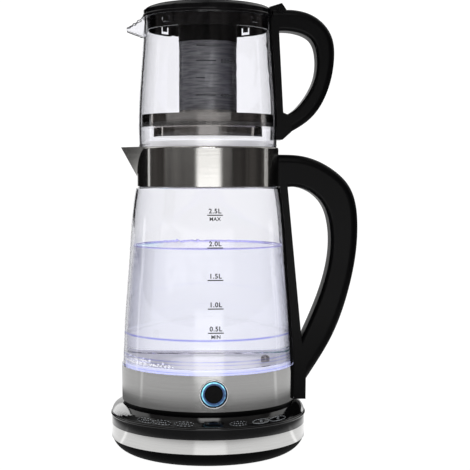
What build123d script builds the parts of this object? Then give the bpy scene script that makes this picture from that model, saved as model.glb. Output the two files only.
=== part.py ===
from build123d import *
import os
from math import cos, radians, sin

os.makedirs("parts", exist_ok=True)

# Automatic tea maker, in millimetres. The origin is the middle of the floor contact,
# +Z is up, the spouts point to -X, the handles to +X, and the button faces -Y.

# ---- fits shared by every sub-part
seat_gap = 0.1  # flat faces of two bodies that stand on each other
slip_gap = 0.3  # curved faces of pieces that lift or turn past each other
bed_gap = 0.1  # curved faces of pieces that are fixed side by side
pin_gap = 0.08  # hinge pin in the bore that turns on it
cut_margin = 2.0  # how far a cutting solid runs past what it cuts
side_tolerance = 0.1  # picks the edges that lie on a flat side

# ---- power base
base_radius = 95.0
base_wall = 2.5
foot_ring_radius = 69.0
foot_ring_width = 8.0
foot_ring_height = 3.0
foot_ring_groove = 1.0
bowl_height = 14.4
bowl_floor_radius = 78.0
bowl_edge_inset = 0.5
band_wall = 0.8
band_height = 13.3
cover_side_height = 8.4
rim_bead_out = 0.9
rim_bead_height = 2.8
shoulder_width = 10.3
shoulder_height = 9.1
hub_radius = 20.0
hub_height = 11.0
hub_edge_radius = 1.5
hub_flange_width = 4.0
hub_flange_height = 3.5
hub_socket_radius = 4.2
hub_socket_depth = 9.0
contact_ring_radii = [14.5, 8.5]
contact_ring_wall = 1.4
contact_ring_sink = 0.6
key_radius = 4.5
key_inset = 19.0  # from the edge of the base to the ring of keys
key_angles = [-42, -29, -16, 16, 29, 42]
key_height = 1.6
board_thickness = 1.6
board_width = 30.0
board_half_angle = 52
board_inset = 9.0

# ---- kettle foot, skirt and heater
kettle_foot_radius = 83.0
kettle_foot_width = 5.0
kettle_foot_height = 3.4
skirt_bottom_radius = 84.7
skirt_flare = 0.5
skirt_height = 33.9
skirt_wall = 0.8
housing_wall = 2.5
housing_wall_height = 29.8
socket_wall = 2.5
socket_cap_height = 12.0
socket_cap_edge_radius = 2.0
connector_pin_radius = 3.0
connector_pin_length = 6.5
light_ring_height = 1.6
light_ring_width = 4.6
plate_thickness = 1.2
plate_flat_radius = 68.0
plate_rim_radius = 79.4
plate_rim_height = 4.0
seal_floor = 1.1
seal_taper = 0.3
element_ring_radius = 50.0
element_tube_radius = 4.0
element_sweep = 310
terminal_radius = 2.5
terminal_length = 9.0
sensor_radius = 3.0
sensor_height = 6.5
sensor_crown = 2.7
sensor_place = (41.0, 14.0)

# ---- power button in the skirt
button_radius = 8.3
button_thickness = 5.0
button_crown = 0.5
button_travel = 1.2
button_stem_radius = 2.5
button_proud = 1.2
halo_width = 2.7
cup_wall = 0.9
cup_depth = 15.0
bezel_width = 0.9
bezel_proud = 1.9
bezel_edge_radius = 0.3
switch_size = 8.0
switch_height = 2.6

# ---- kettle glass and collar
glass_wall = 2.6
glass_bottom_radius = 84.1
glass_lower_radius = 80.9
glass_upper_radius = 77.7
glass_shoulder_radius = 73.4
glass_neck_radius = 71.0
glass_lower_height = 63.0
glass_upper_height = 104.0
glass_shoulder_height = 157.0
glass_neck_height = 172.5
glass_neck_curl = 2.9
glass_tongue_height = 8.0
collar_radius = 69.4
collar_height = 38.0
collar_wall = 0.9
collar_edge_radius = 2.0
upper_seal_width = 1.0
mouth_radius = 58.0
mouth_ring_depth = 4.0
mouth_lip_wall = 1.6
mouth_lip_radius = 62.4
mouth_lip_height = 5.4
spout_reach = 85.1
spout_half_angle = 28.5
spout_depth = 28.6

# ---- kettle handle
handle_width = 26.0
handle_reach = 148.0
handle_top_drop = 7.0
handle_thickness = 28.0
handle_neck_depth = 32.0
handle_foot_height = 15.5
handle_foot_reach = 95.6
handle_foot_clearance = 1.4
handle_root_reach = 34.7
handle_cover_depth = 3.0
seam_steps = 16
handle_edge_radius = 8.0
handle_gap_edge_radius = 4.0
gap_low_height = 57.4
spine_top_depth = 6.4
spine_low_depth = 9.0
spine_foot_height = 41.0
spine_lap = 1.0

# ---- teapot glass and dish
pot_wall = 2.4
pot_skirt_radius = 67.3
pot_belly_radius = 67.8
pot_middle_radius = 65.3
pot_mouth_radius = 62.2
pot_belly_height = 32.0
pot_middle_height = 74.0
pot_mouth_height = 124.9
beak_reach = 79.3
beak_drop = 10.9
beak_root_reach = 55.0
beak_half_width = 16.0
beak_depth = 26.6
beak_tip_half_width = 2.4
beak_tip_depth = 1.4
pot_bead_radius = 1.6
pot_bead_out = 0.4
dish_wall = 0.9
dish_lower_radius = 53.3
dish_floor_height = 9.9
dish_step_height = 19.0
dish_rim_height = 31.0
gasket_width = 0.8
gasket_height = 4.0

# ---- teapot mouth collar with snap tongues
mouth_collar_radius = 59.3
mouth_collar_wall = 1.2
mouth_collar_depth = 12.1
mouth_flange_radius = 63.6
mouth_flange_height = 3.1
mouth_flange_edge_radius = 0.6
mouth_plate_height = 2.0
tongue_width = 5.9
tongue_height = 4.4
tongue_slot = 2.6
tongue_top_margin = 3.4
tongue_angles = [45, 135, 225, 315]

# ---- infuser
infuser_radius = 28.5
infuser_flange_width = 4.2
infuser_flange_height = 1.6
infuser_band_height = 27.0
infuser_mesh_height = 66.0
infuser_wall = 1.2
mesh_wall = 0.5
infuser_base_height = 3.0
infuser_base_recess = 1.4

# ---- teapot lid, knob and hinge
lid_radius = 62.8
lid_rim_height = 4.0
lid_wall = 2.2
lid_middle_radius = 50.0
lid_middle_rise = 5.6
lid_top_rise = 11.0
knob_plate_radius = 20.0
knob_plate_height = 1.6
knob_stem_radius = 8.5
knob_stem_height = 4.5
knob_radius = 16.5
knob_height = 9.5
knob_top_round = 5.2
knob_under_round = 2.8
knob_plate_round = 0.8
knob_screw_radius = 2.0
knob_screw_head_radius = 4.0
knob_screw_head_height = 2.0
knob_screw_reach = 2.4
knob_hole_depth = 3.2
lid_seal_radius = 57.2
lid_seal_width = 3.2
lid_rib_width = 2.4
lid_rib_height = 6.4
hinge_reach = 70.7
hinge_rise = 5.4
hinge_pin_radius = 1.5
hinge_ear_radius = 3.8
hinge_ear_thickness = 4.8
hinge_pin_overhang = 0.4
hinge_slot_gap = 0.5
fork_margin = 1.5
tab_half_width = 6.8
tab_peak = (1.5, 7.2)
tab_heel = (5.9, 0.8)
tab_back = (-11.8, 3.0)
tab_root = (-12.7, -0.3)
tab_chin = (-8.0, -1.2)

# ---- teapot handle
pot_handle_width = 24.0
pot_handle_reach = 124.0
pot_handle_thickness = 17.8
pot_handle_neck_depth = 21.0
pot_handle_cover_depth = 2.6
pot_handle_edge_radius = 7.0
pot_handle_gap_edge_radius = 3.5
pot_handle_foot_height = 8.9
pot_gap_low_height = 30.8
pot_handle_top_rise = 5.9
pot_handle_clearance = 1.2
pot_spine_top_depth = 6.6
pot_spine_low_depth = 5.4
pot_spine_foot_height = 20.0
bracket_height = 26.6
bracket_depth = 13.2
bracket_width = 30.0
bracket_lug_reach = 4.4
bracket_low_slope = 7.9
bracket_top_slope = 4.0
bracket_edge_radius = 3.3
pot_handle_root_reach = 31.1

# ---- heights worked out from the sizes above
bowl_bottom = foot_ring_height - foot_ring_groove
band_bottom = bowl_bottom + bowl_height
cover_bottom = band_bottom + band_height
bead_bottom = cover_bottom + cover_side_height
bead_top = bead_bottom + rim_bead_height
deck_top = bead_top + shoulder_height
deck_under = deck_top - base_wall
deck_radius = base_radius - shoulder_width
key_circle_radius = base_radius - key_inset
hub_top = deck_top + hub_height

kettle_bottom = deck_top + seat_gap
skirt_bottom = kettle_bottom + kettle_foot_height
skirt_top = skirt_bottom + skirt_height
skirt_top_radius = skirt_bottom_radius + skirt_flare
housing_radius = skirt_bottom_radius - skirt_wall - bed_gap
housing_top = skirt_bottom + housing_wall_height
socket_radius = hub_radius + 2 * slip_gap
socket_top = hub_top + 2 * slip_gap
light_ring_top = housing_top + light_ring_height
glass_bottom = light_ring_top + seal_floor
plate_top = glass_bottom + plate_thickness
button_height = skirt_bottom + skirt_height / 2

glass_neck = glass_bottom + glass_neck_height
collar_bottom = glass_neck + glass_neck_curl
collar_top = collar_bottom + collar_height
glass_top = collar_bottom + glass_tongue_height
glass_tongue_radius = collar_radius - collar_wall - upper_seal_width

pot_bottom = collar_top + seat_gap
pot_mouth = pot_bottom + pot_mouth_height
flange_top = pot_mouth + mouth_flange_height
plate_level = pot_mouth + mouth_plate_height
lid_bottom = flange_top + seat_gap
lid_rim_top = lid_bottom + lid_rim_height
lid_top = lid_rim_top + lid_top_rise
hinge_height = flange_top + hinge_rise
handle_foot_level = deck_top + handle_foot_clearance


def glass_outline(clearance):
    """Outer line of the kettle glass, from its foot to its neck."""
    lower = (glass_lower_radius + clearance, glass_bottom + glass_lower_height)
    upper = (glass_upper_radius + clearance, glass_bottom + glass_upper_height)
    shoulder = (glass_shoulder_radius + clearance, glass_bottom + glass_shoulder_height)
    return Spline(
        (glass_bottom_radius + clearance, glass_bottom),
        lower,
        upper,
        shoulder,
        (glass_neck_radius + clearance, glass_neck),
    )


def pot_outline(clearance):
    """Outer line of the teapot glass, from its standing rim to its mouth."""
    return Spline(
        (pot_skirt_radius + clearance, pot_bottom),
        (pot_belly_radius + clearance, pot_bottom + pot_belly_height),
        (pot_middle_radius + clearance, pot_bottom + pot_middle_height),
        (pot_mouth_radius + clearance, pot_mouth),
    )


def box_points(shape, left, right, bottom, top):
    """Places an outline drawn in a unit square into a real rectangle."""
    return [(left + u * (right - left), bottom + v * (top - bottom)) for u, v in shape]


def ring(inner, outer, bottom, height):
    """A plain ring about the vertical axis."""
    with BuildPart() as piece:
        with BuildSketch(Plane.XY.offset(bottom)):
            Circle(outer)
            Circle(inner, mode=Mode.SUBTRACT)
        extrude(amount=height)
    return piece


# ================= power base =================

with BuildPart() as base_lower_shell:
    with BuildSketch(Plane.XZ):
        with BuildLine():
            Line((0, bowl_bottom), (bowl_floor_radius, bowl_bottom))
            edge = (base_radius - bowl_edge_inset, band_bottom)
            Spline((bowl_floor_radius, bowl_bottom), edge, tangents=[(1, 0.3), (0.35, 1)])
            wall = base_radius - band_wall - bed_gap
            Polyline(edge, (wall, band_bottom), (wall, cover_bottom), (0, cover_bottom), (0, bowl_bottom))
        make_face()
    revolve(axis=Axis.Z)
    offset(amount=-base_wall, openings=base_lower_shell.faces().sort_by(Axis.Z)[-1])
    # groove that holds the rubber foot
    with BuildSketch(Plane.XY.offset(bowl_bottom)):
        Circle(foot_ring_radius + bed_gap)
        Circle(foot_ring_radius - foot_ring_width - bed_gap, mode=Mode.SUBTRACT)
    extrude(amount=foot_ring_groove, mode=Mode.SUBTRACT)

with BuildPart() as base_foot_ring:
    with BuildSketch(Plane.XZ):
        with Locations((foot_ring_radius - foot_ring_width / 2, foot_ring_height / 2)):
            RectangleRounded(foot_ring_width, foot_ring_height, foot_ring_height / 4)
    revolve(axis=Axis.Z)

base_steel_band = ring(base_radius - band_wall, base_radius, band_bottom, band_height)

with BuildPart() as base_top_cover:
    hole_radius = hub_radius + bed_gap
    inner_wall = base_radius - base_wall
    bead_out = base_radius + rim_bead_out
    with BuildSketch(Plane.XZ):
        with BuildLine():
            Polyline((inner_wall, cover_bottom), (base_radius, cover_bottom), (base_radius, bead_bottom))
            ThreePointArc(
                (base_radius, bead_bottom),
                (bead_out, bead_bottom + rim_bead_height / 2),
                (base_radius, bead_top),
            )
            Spline((base_radius, bead_top), (deck_radius, deck_top), tangents=[(-0.2, 1), (-1, 0)])
            Line((deck_radius, deck_top), (hole_radius, deck_top))
            Line((hole_radius, deck_top), (hole_radius, deck_under))
            Line((hole_radius, deck_under), (deck_radius, deck_under))
            Spline((deck_radius, deck_under), (inner_wall, bead_top), tangents=[(1, 0), (0.2, -1)])
            Line((inner_wall, bead_top), (inner_wall, cover_bottom))
        make_face()
    revolve(axis=Axis.Z)

with BuildPart() as base_connector_hub:
    with BuildSketch(Plane.XY.offset(deck_under - hub_flange_height)):
        Circle(hub_radius + hub_flange_width)
    extrude(amount=hub_flange_height)
    with BuildSketch(Plane.XY.offset(deck_under)):
        Circle(hub_radius)
    extrude(amount=hub_top - deck_under)
    fillet(base_connector_hub.edges().filter_by(GeomType.CIRCLE).sort_by(Axis.Z)[-1], radius=hub_edge_radius)
    with BuildSketch(Plane.XY.offset(hub_top)):
        for groove_radius in contact_ring_radii:
            Circle(groove_radius + contact_ring_wall)
            Circle(groove_radius, mode=Mode.SUBTRACT)
        Circle(hub_socket_radius)
    extrude(amount=-hub_socket_depth, mode=Mode.SUBTRACT)

with BuildPart() as base_contact_rings:
    ring_bottom = hub_top - hub_socket_depth
    with BuildSketch(Plane.XY.offset(ring_bottom)):
        for groove_radius in contact_ring_radii:
            Circle(groove_radius + contact_ring_wall - bed_gap)
            Circle(groove_radius + bed_gap, mode=Mode.SUBTRACT)
    extrude(amount=hub_socket_depth - contact_ring_sink)

with BuildPart() as touch_key_pads:
    with BuildSketch(Plane.XY.offset(deck_under - key_height)):
        for angle in key_angles:
            place = (key_circle_radius * sin(radians(angle)), -key_circle_radius * cos(radians(angle)))
            with Locations(place):
                Circle(key_radius)
    extrude(amount=key_height)

with BuildPart() as control_board:
    board_outer = base_radius - board_inset
    with BuildSketch(Plane.XY.offset(deck_under - key_height - board_thickness)):
        Circle(board_outer)
        Circle(board_outer - board_width, mode=Mode.SUBTRACT)
        with BuildLine():
            far = 2 * board_outer
            left = (-far * sin(radians(board_half_angle)), -far * cos(radians(board_half_angle)))
            right = (-left[0], left[1])
            Polyline((0, 0), left, (0, -far * 2), right, close=True)
        make_face(mode=Mode.INTERSECT)
    extrude(amount=board_thickness)

# ================= kettle foot and heater =================

button_plane = Plane(origin=(0, -skirt_bottom_radius, button_height), z_dir=(0, -1, 0))
halo_radius = button_radius + slip_gap + halo_width
cup_radius = halo_radius + bed_gap + cup_wall

with BuildPart() as kettle_base_housing:
    with BuildSketch(Plane.XZ):
        with BuildLine():
            foot_inner = kettle_foot_radius - kettle_foot_width
            floor_top = skirt_bottom + housing_wall
            sleeve = socket_radius + socket_wall
            Polyline(
                (foot_inner, kettle_bottom),
                (kettle_foot_radius, kettle_bottom),
                (kettle_foot_radius, skirt_bottom),
                (housing_radius, skirt_bottom),
                (housing_radius, housing_top),
                (housing_radius - housing_wall, housing_top),
                (housing_radius - housing_wall, floor_top),
                (sleeve, floor_top),
                (sleeve, socket_top),
                (socket_radius, socket_top),
                (socket_radius, skirt_bottom),
                (foot_inner, skirt_bottom),
                close=True,
            )
        make_face()
    revolve(axis=Axis.Z)
    with BuildSketch(button_plane):
        Circle(cup_radius + bed_gap)
    extrude(amount=-cup_depth - slip_gap, mode=Mode.SUBTRACT)

with BuildPart() as kettle_connector:
    with BuildSketch(Plane.XY.offset(socket_top)):
        Circle(socket_radius + socket_wall)
    extrude(amount=socket_cap_height)
    cap_edge = kettle_connector.edges().filter_by(GeomType.CIRCLE).sort_by(Axis.Z)[-1]
    fillet(cap_edge, radius=socket_cap_edge_radius)
    with BuildSketch(Plane.XY.offset(socket_top)):
        Circle(connector_pin_radius)
    extrude(amount=-connector_pin_length)

with BuildPart() as kettle_skirt:
    with BuildSketch(Plane.XZ):
        with BuildLine():
            hem_radius = skirt_bottom_radius - skirt_wall
            Polyline(
                (skirt_bottom_radius, skirt_bottom),
                (skirt_top_radius, skirt_top),
                (skirt_top_radius - skirt_wall, skirt_top),
                (hem_radius, skirt_bottom),
                close=True,
            )
        make_face()
    revolve(axis=Axis.Z)
    with BuildSketch(button_plane.offset(bezel_proud)):
        Circle(cup_radius + bed_gap)
    extrude(amount=-cup_depth, mode=Mode.SUBTRACT)

with BuildPart() as kettle_light_ring:
    with BuildSketch(Plane.XY.offset(housing_top)):
        Circle(housing_radius)
        Circle(housing_radius - light_ring_width, mode=Mode.SUBTRACT)
    extrude(amount=light_ring_height)

with BuildPart() as heating_plate:
    with BuildSketch(Plane.XZ):
        with BuildLine():
            rim_top = plate_top + plate_rim_height
            Polyline(
                (0, glass_bottom),
                (plate_flat_radius, glass_bottom),
                (plate_rim_radius - plate_thickness, glass_bottom + plate_thickness),
                (plate_rim_radius, glass_bottom + plate_thickness),
                (plate_rim_radius, rim_top),
                (plate_rim_radius - plate_thickness, rim_top),
                (plate_rim_radius - plate_thickness, plate_top + plate_thickness),
                (plate_flat_radius, plate_top),
                (0, plate_top),
                close=True,
            )
        make_face()
    revolve(axis=Axis.Z)

with BuildPart() as lower_glass_seal:
    with BuildSketch(Plane.XZ):
        with BuildLine():
            seal_in = plate_rim_radius + bed_gap
            glass_in = glass_bottom_radius - glass_wall - 2 * bed_gap
            glass_in_top = glass_in - seal_taper
            Polyline(
                (seal_in, light_ring_top),
                (glass_bottom_radius, light_ring_top),
                (glass_bottom_radius, glass_bottom),
                (glass_in, glass_bottom),
                (glass_in_top, plate_top + plate_rim_height),
                (seal_in, plate_top + plate_rim_height),
                close=True,
            )
        make_face()
    revolve(axis=Axis.Z)

with BuildPart() as heating_element:
    element_height = glass_bottom - element_tube_radius
    with BuildSketch(Plane.XZ):
        with Locations((element_ring_radius, element_height)):
            Circle(element_tube_radius)
    revolve(axis=Axis.Z, revolution_arc=element_sweep)
    open_angle = -(360 - element_sweep)
    ends = [
        (element_ring_radius, 0),
        (element_ring_radius * cos(radians(open_angle)), element_ring_radius * sin(radians(open_angle))),
    ]
    with BuildSketch(Plane.XY.offset(element_height)):
        with Locations(*ends):
            Circle(terminal_radius)
    extrude(amount=-terminal_length)

with BuildPart() as temperature_sensor:
    with BuildSketch(Plane.XY.offset(plate_top)):
        with Locations(sensor_place):
            Circle(sensor_radius)
    extrude(amount=sensor_height)
    fillet(temperature_sensor.edges().filter_by(GeomType.CIRCLE).sort_by(Axis.Z)[-1], radius=sensor_crown)

# ================= power button =================

with BuildPart() as button_cup:
    with BuildSketch(button_plane.offset(button_proud)):
        Circle(cup_radius)
    extrude(amount=-cup_depth - button_proud)
    with BuildSketch(button_plane.offset(button_proud)):
        Circle(halo_radius + bed_gap)
    extrude(amount=-cup_depth - button_proud + housing_wall, mode=Mode.SUBTRACT)

with BuildPart() as button_light_ring:
    with BuildSketch(button_plane.offset(button_proud - slip_gap)):
        Circle(halo_radius)
        Circle(button_radius + slip_gap, mode=Mode.SUBTRACT)
    extrude(amount=-cup_depth - button_proud + housing_wall + slip_gap)

with BuildPart() as button_bezel:
    with BuildSketch(button_plane.offset(bezel_proud)):
        Circle(cup_radius + bed_gap + bezel_width)
        Circle(cup_radius + bed_gap, mode=Mode.SUBTRACT)
    extrude(amount=-bezel_proud - 2 * bezel_width)
    fillet(button_bezel.edges().filter_by(GeomType.CIRCLE).group_by(Axis.Y)[0], radius=bezel_edge_radius)
    # the back of the ring follows the skirt that it lies on
    with BuildSketch(Plane.XZ):
        with BuildLine():
            Polyline(
                (0, skirt_bottom),
                (skirt_bottom_radius, skirt_bottom),
                (skirt_top_radius, skirt_top),
                (0, skirt_top),
                close=True,
            )
        make_face()
    revolve(axis=Axis.Z, mode=Mode.SUBTRACT)

with BuildPart() as power_button:
    with BuildSketch(button_plane.offset(button_proud)):
        Circle(button_radius)
    extrude(amount=-button_thickness)
    fillet(power_button.edges().filter_by(GeomType.CIRCLE).sort_by(Axis.Y)[0], radius=button_crown)
    with BuildSketch(button_plane.offset(button_proud - button_thickness)):
        Circle(button_stem_radius)
    # the stem stops short of the switch by the travel of the button
    well_depth = cup_depth - housing_wall + button_proud - button_thickness
    extrude(amount=-(well_depth - switch_height - button_travel - slip_gap))

with BuildPart() as button_switch:
    with BuildSketch(button_plane.offset(-cup_depth + housing_wall)):
        Rectangle(switch_size, switch_size)
    extrude(amount=switch_height)

# ================= kettle glass, collar and spout =================

with BuildPart() as kettle_glass:
    with BuildSketch(Plane.XZ):
        with BuildLine():
            glass_outline(0)
            neck = (glass_neck_radius, glass_neck)
            step = (glass_tongue_radius, collar_bottom)
            Spline(neck, step, tangents=[(-0.08, 1), (-0.02, 1)])
            inner_neck = (glass_neck_radius - glass_wall, glass_neck)
            inner_step = (glass_tongue_radius - glass_wall, collar_bottom)
            Polyline(
                step,
                (glass_tongue_radius, glass_top),
                (glass_tongue_radius - glass_wall, glass_top),
                inner_step,
            )
            Spline(inner_step, inner_neck, tangents=[(0.02, -1), (0.08, -1)])
            glass_outline(-glass_wall)
            Line((glass_bottom_radius - glass_wall, glass_bottom), (glass_bottom_radius, glass_bottom))
        make_face()
    revolve(axis=Axis.Z)

upper_glass_seal = ring(
    glass_tongue_radius + bed_gap,
    collar_radius - collar_wall - bed_gap,
    collar_bottom,
    glass_tongue_height,
)


def spout_wedge(inset):
    """Solid V of the poured spout, drawn in by the thickness of the sheet."""
    top_level = collar_top
    root_x = collar_radius * cos(radians(spout_half_angle))
    root_y = collar_radius * sin(radians(spout_half_angle)) - inset
    tip_x = spout_reach - 2 * inset
    low_x = collar_radius - inset
    low_level = collar_top - spout_depth + 2 * inset
    with BuildPart() as wedge:
        with BuildSketch(Plane.XY.offset(top_level)):
            with BuildLine():
                Polyline((-tip_x, 0), (-root_x, root_y), (-root_x / 2, 0), (-root_x, -root_y), close=True)
            make_face()
        with BuildSketch(Plane.XY.offset(low_level)):
            with BuildLine():
                small = collar_wall / 2
                near = low_x - 2 * small
                Polyline((-low_x, 0), (-near, small), (-near + small, 0), (-near, -small), close=True)
            make_face()
        loft(ruled=True)
    return wedge


with BuildPart() as steel_collar:
    with BuildSketch(Plane.XY.offset(collar_bottom)):
        Circle(collar_radius)
    extrude(amount=collar_height)
    fillet(steel_collar.edges().filter_by(GeomType.CIRCLE).sort_by(Axis.Z)[-1], radius=collar_edge_radius)
    add(spout_wedge(0).part)
    with BuildSketch(Plane.XY.offset(collar_bottom)):
        Circle(collar_radius - collar_wall)
    extrude(amount=collar_height - collar_wall, mode=Mode.SUBTRACT)
    with BuildSketch(Plane.XY.offset(collar_bottom)):
        Circle(mouth_lip_radius + bed_gap)
    extrude(amount=collar_height, mode=Mode.SUBTRACT)
    add(spout_wedge(collar_wall).part, mode=Mode.SUBTRACT)

with BuildPart() as mouth_ring:
    with BuildSketch(Plane.XZ):
        with BuildLine():
            ring_out = collar_radius - collar_wall - bed_gap
            ring_top = collar_top - collar_wall - bed_gap
            ring_low = ring_top - mouth_ring_depth
            lip_in = mouth_lip_radius - mouth_lip_wall
            Polyline(
                (mouth_radius, ring_low),
                (ring_out, ring_low),
                (ring_out, ring_top),
                (mouth_lip_radius, ring_top),
                (mouth_lip_radius, collar_top + mouth_lip_height),
                (lip_in, collar_top + mouth_lip_height),
                (lip_in, ring_low + mouth_lip_wall),
                (mouth_radius, ring_low + mouth_lip_wall),
                close=True,
            )
        make_face()
    revolve(axis=Axis.Z)
    # notch that lets water past the ring into the spout
    add(spout_wedge(0).part, mode=Mode.SUBTRACT)

# ================= looped handles =================


def side_curves(blank, side):
    """The curved edges on the two flat sides of a handle."""
    curves = blank.edges().filter_by(GeomType.BSPLINE)
    return curves.filter_by(lambda edge: abs(abs(edge.center().Y) - side) < side_tolerance)


def loop_blank(loop, gap, width, edge_radius, gap_edge_radius):
    """Solid grip loop: an outer outline with rounded edges, less the finger gap."""
    with BuildPart() as blank:
        with BuildSketch(Plane.XZ):
            with BuildLine():
                Spline(*loop["curve"], tangents=loop["tangents"])
                Polyline(loop["curve"][-1], *loop["foot"], *loop["back"], loop["curve"][0])
            make_face()
        extrude(amount=width / 2, both=True)
        fillet(side_curves(blank, width / 2), radius=edge_radius)
        with BuildSketch(Plane.XZ):
            with BuildLine():
                Spline(*gap)
                Line(gap[-1], gap[0])
            make_face()
        extrude(amount=width, both=True, mode=Mode.SUBTRACT)
        middle = ((gap[0][0] + max(x for x, z in gap)) / 2, 0, (gap[0][1] + gap[-1][1]) / 2)
        fillet(side_curves(blank, width / 2).sort_by_distance(middle)[:2], radius=gap_edge_radius)
    return blank


handle_outer_shape = [
    (0, 1),
    (0.29, 0.994),
    (0.66, 0.94),
    (0.887, 0.863),
    (1, 0.69),
    (0.9, 0.417),
    (0.695, 0.209),
    (0.336, 0),
]
handle_gap_shape = [(0, 1), (0.49, 0.975), (0.81, 0.895), (0.99, 0.75), (0.99, 0.54), (0.79, 0.31)]
handle_top = collar_top - handle_top_drop
handle_low = skirt_bottom + handle_foot_height
gap_top = handle_top - handle_neck_depth
gap_low = skirt_bottom + gap_low_height
gap_left = glass_neck_radius + spine_top_depth
gap_right = handle_reach - handle_thickness
gap_low_left = (glass_bottom_radius + glass_lower_radius) / 2 + spine_low_depth

kettle_loop = {
    "curve": [
        (handle_root_reach, handle_top),
        *box_points(handle_outer_shape, collar_radius, handle_reach, handle_low, handle_top),
    ],
    "foot": [(handle_foot_reach, handle_foot_level)],
    "back": [(handle_root_reach, handle_foot_level)],
    "tangents": [(1, 0), (-0.65, -1)],
}
kettle_gap = box_points(handle_gap_shape, gap_left, gap_right, gap_low, gap_top)
kettle_gap.append((gap_low_left, gap_low))

# outside of the kettle, as the handle sees it
with BuildPart() as kettle_core:
    with BuildSketch(Plane.XZ):
        with BuildLine():
            low = (skirt_bottom_radius + bed_gap, skirt_bottom)
            high = (skirt_top_radius + bed_gap, skirt_top)
            Polyline((0, 0), (low[0], 0), low, high, (0, skirt_top), close=True)
        make_face()
    revolve(axis=Axis.Z)
    with BuildSketch(Plane.XZ):
        with BuildLine():
            outline = glass_outline(bed_gap)
            Polyline(outline @ 1, (0, glass_neck), (0, glass_bottom), outline @ 0)
        make_face()
    revolve(axis=Axis.Z)
    with BuildSketch(Plane.XY.offset(glass_neck)):
        Circle(glass_neck_radius + bed_gap)
    extrude(amount=collar_bottom - glass_neck)
    with BuildSketch(Plane.XY.offset(collar_bottom)):
        Circle(collar_radius + bed_gap)
    extrude(amount=collar_height)


def flat_shape(points, half_width):
    """A slab between two sides of the handle, drawn in the upright plane."""
    with BuildPart() as slab:
        with BuildSketch(Plane.XZ):
            with BuildLine():
                Polyline(*points, close=True)
            make_face()
        extrude(amount=half_width, both=True)
    return slab


def inset_line(loop, depth):
    """The outer line of a handle loop, moved in by the thickness of its cover."""
    with BuildLine(mode=Mode.PRIVATE):
        outer = Spline(*loop["curve"], tangents=loop["tangents"], mode=Mode.PRIVATE)
    points = []
    for step in range(seam_steps + 1):
        along = outer % (step / seam_steps)
        spot = outer @ (step / seam_steps)
        points.append((spot.X + depth * along.Y, spot.Y - depth * along.X))
    return Spline(*points)


def loop_seam(loop, depth, half_width):
    """The inside of a handle loop, as deep as its outer cover is thick."""
    with BuildPart() as inside:
        with BuildSketch(Plane.XZ):
            with BuildLine():
                line = inset_line(loop, depth)
                foot = [(x - depth, z) for x, z in loop["foot"]]
                Polyline(line @ 1, *foot, *loop["back"], line @ 0)
            make_face()
        extrude(amount=half_width, both=True)
    return inside


kettle_blank = loop_blank(kettle_loop, kettle_gap, handle_width, handle_edge_radius, handle_gap_edge_radius)
kettle_seam = loop_seam(kettle_loop, handle_cover_depth, handle_width)
kettle_spine_shape = flat_shape(
    [
        (handle_root_reach - cut_margin, collar_bottom),
        (gap_left + spine_lap, collar_bottom),
        (gap_left + spine_lap, gap_top),
        (gap_low_left + spine_lap, gap_low),
        (gap_low_left + spine_lap, skirt_bottom + spine_foot_height),
        (handle_root_reach - cut_margin, skirt_bottom + spine_foot_height),
    ],
    handle_width,
)

with BuildPart() as kettle_handle_cover:
    add(kettle_blank.part)
    add(kettle_core.part, mode=Mode.SUBTRACT)
    add(kettle_seam.part, mode=Mode.SUBTRACT)

with BuildPart() as kettle_handle_spine:
    add(kettle_blank.part)
    add(kettle_core.part, mode=Mode.SUBTRACT)
    add(kettle_spine_shape.part, mode=Mode.INTERSECT)

with BuildPart() as kettle_handle_grip:
    add(kettle_blank.part)
    add(kettle_core.part, mode=Mode.SUBTRACT)
    add(kettle_spine_shape.part, mode=Mode.SUBTRACT)
    add(kettle_seam.part, mode=Mode.INTERSECT)

# ================= teapot glass, dish and mouth collar =================

beak_tip_level = pot_mouth - beak_drop
beak_slope = beak_drop / (beak_reach - pot_mouth_radius)
beak_root_level = pot_mouth + beak_slope * (pot_mouth_radius - beak_root_reach)


def beak_cone(inset):
    """Half funnel that leans out from the mouth, drawn in by the glass."""
    with BuildPart() as cone:
        root = Plane(origin=(-beak_root_reach, 0, beak_root_level), x_dir=(0, 1, 0), z_dir=(-1, 0, 0))
        tip = Plane(origin=(-beak_reach, 0, beak_tip_level), x_dir=(0, 1, 0), z_dir=(-1, 0, 0))
        with BuildSketch(root):
            Ellipse(beak_half_width - inset, beak_depth - inset)
        with BuildSketch(tip):
            Ellipse(beak_tip_half_width - inset / 3, beak_tip_depth - inset / 3)
        loft()
    return cone


with BuildPart() as teapot_glass:
    add(beak_cone(0).part)
    # the lip of the beak: everything above the leaning line is open
    with BuildSketch(Plane.XZ):
        with BuildLine():
            above = pot_mouth + beak_depth + beak_drop
            Polyline(
                (-beak_reach - beak_depth, beak_tip_level),
                (-beak_reach, beak_tip_level),
                (-pot_mouth_radius, pot_mouth),
                (0, pot_mouth),
                (0, above),
                (-beak_reach - beak_depth, above),
                close=True,
            )
        make_face()
    extrude(amount=beak_half_width * 2, both=True, mode=Mode.SUBTRACT)
    with BuildSketch(Plane.XZ):
        with BuildLine():
            outline = pot_outline(0)
            Polyline(outline @ 1, (0, pot_mouth), (0, pot_bottom), outline @ 0)
        make_face()
        with Locations((pot_skirt_radius - pot_bead_radius + pot_bead_out, pot_bottom + pot_bead_radius)):
            Circle(pot_bead_radius)
    revolve(axis=Axis.Z)
    with BuildSketch(Plane.XZ):
        with BuildLine():
            outline = pot_outline(-pot_wall)
            Polyline(outline @ 1, (0, pot_mouth), (0, pot_bottom), outline @ 0)
        make_face()
    revolve(axis=Axis.Z, mode=Mode.SUBTRACT)
    add(beak_cone(pot_wall).part, mode=Mode.SUBTRACT)

dish_radius = pot_belly_radius - pot_wall - gasket_width - bed_gap

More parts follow.
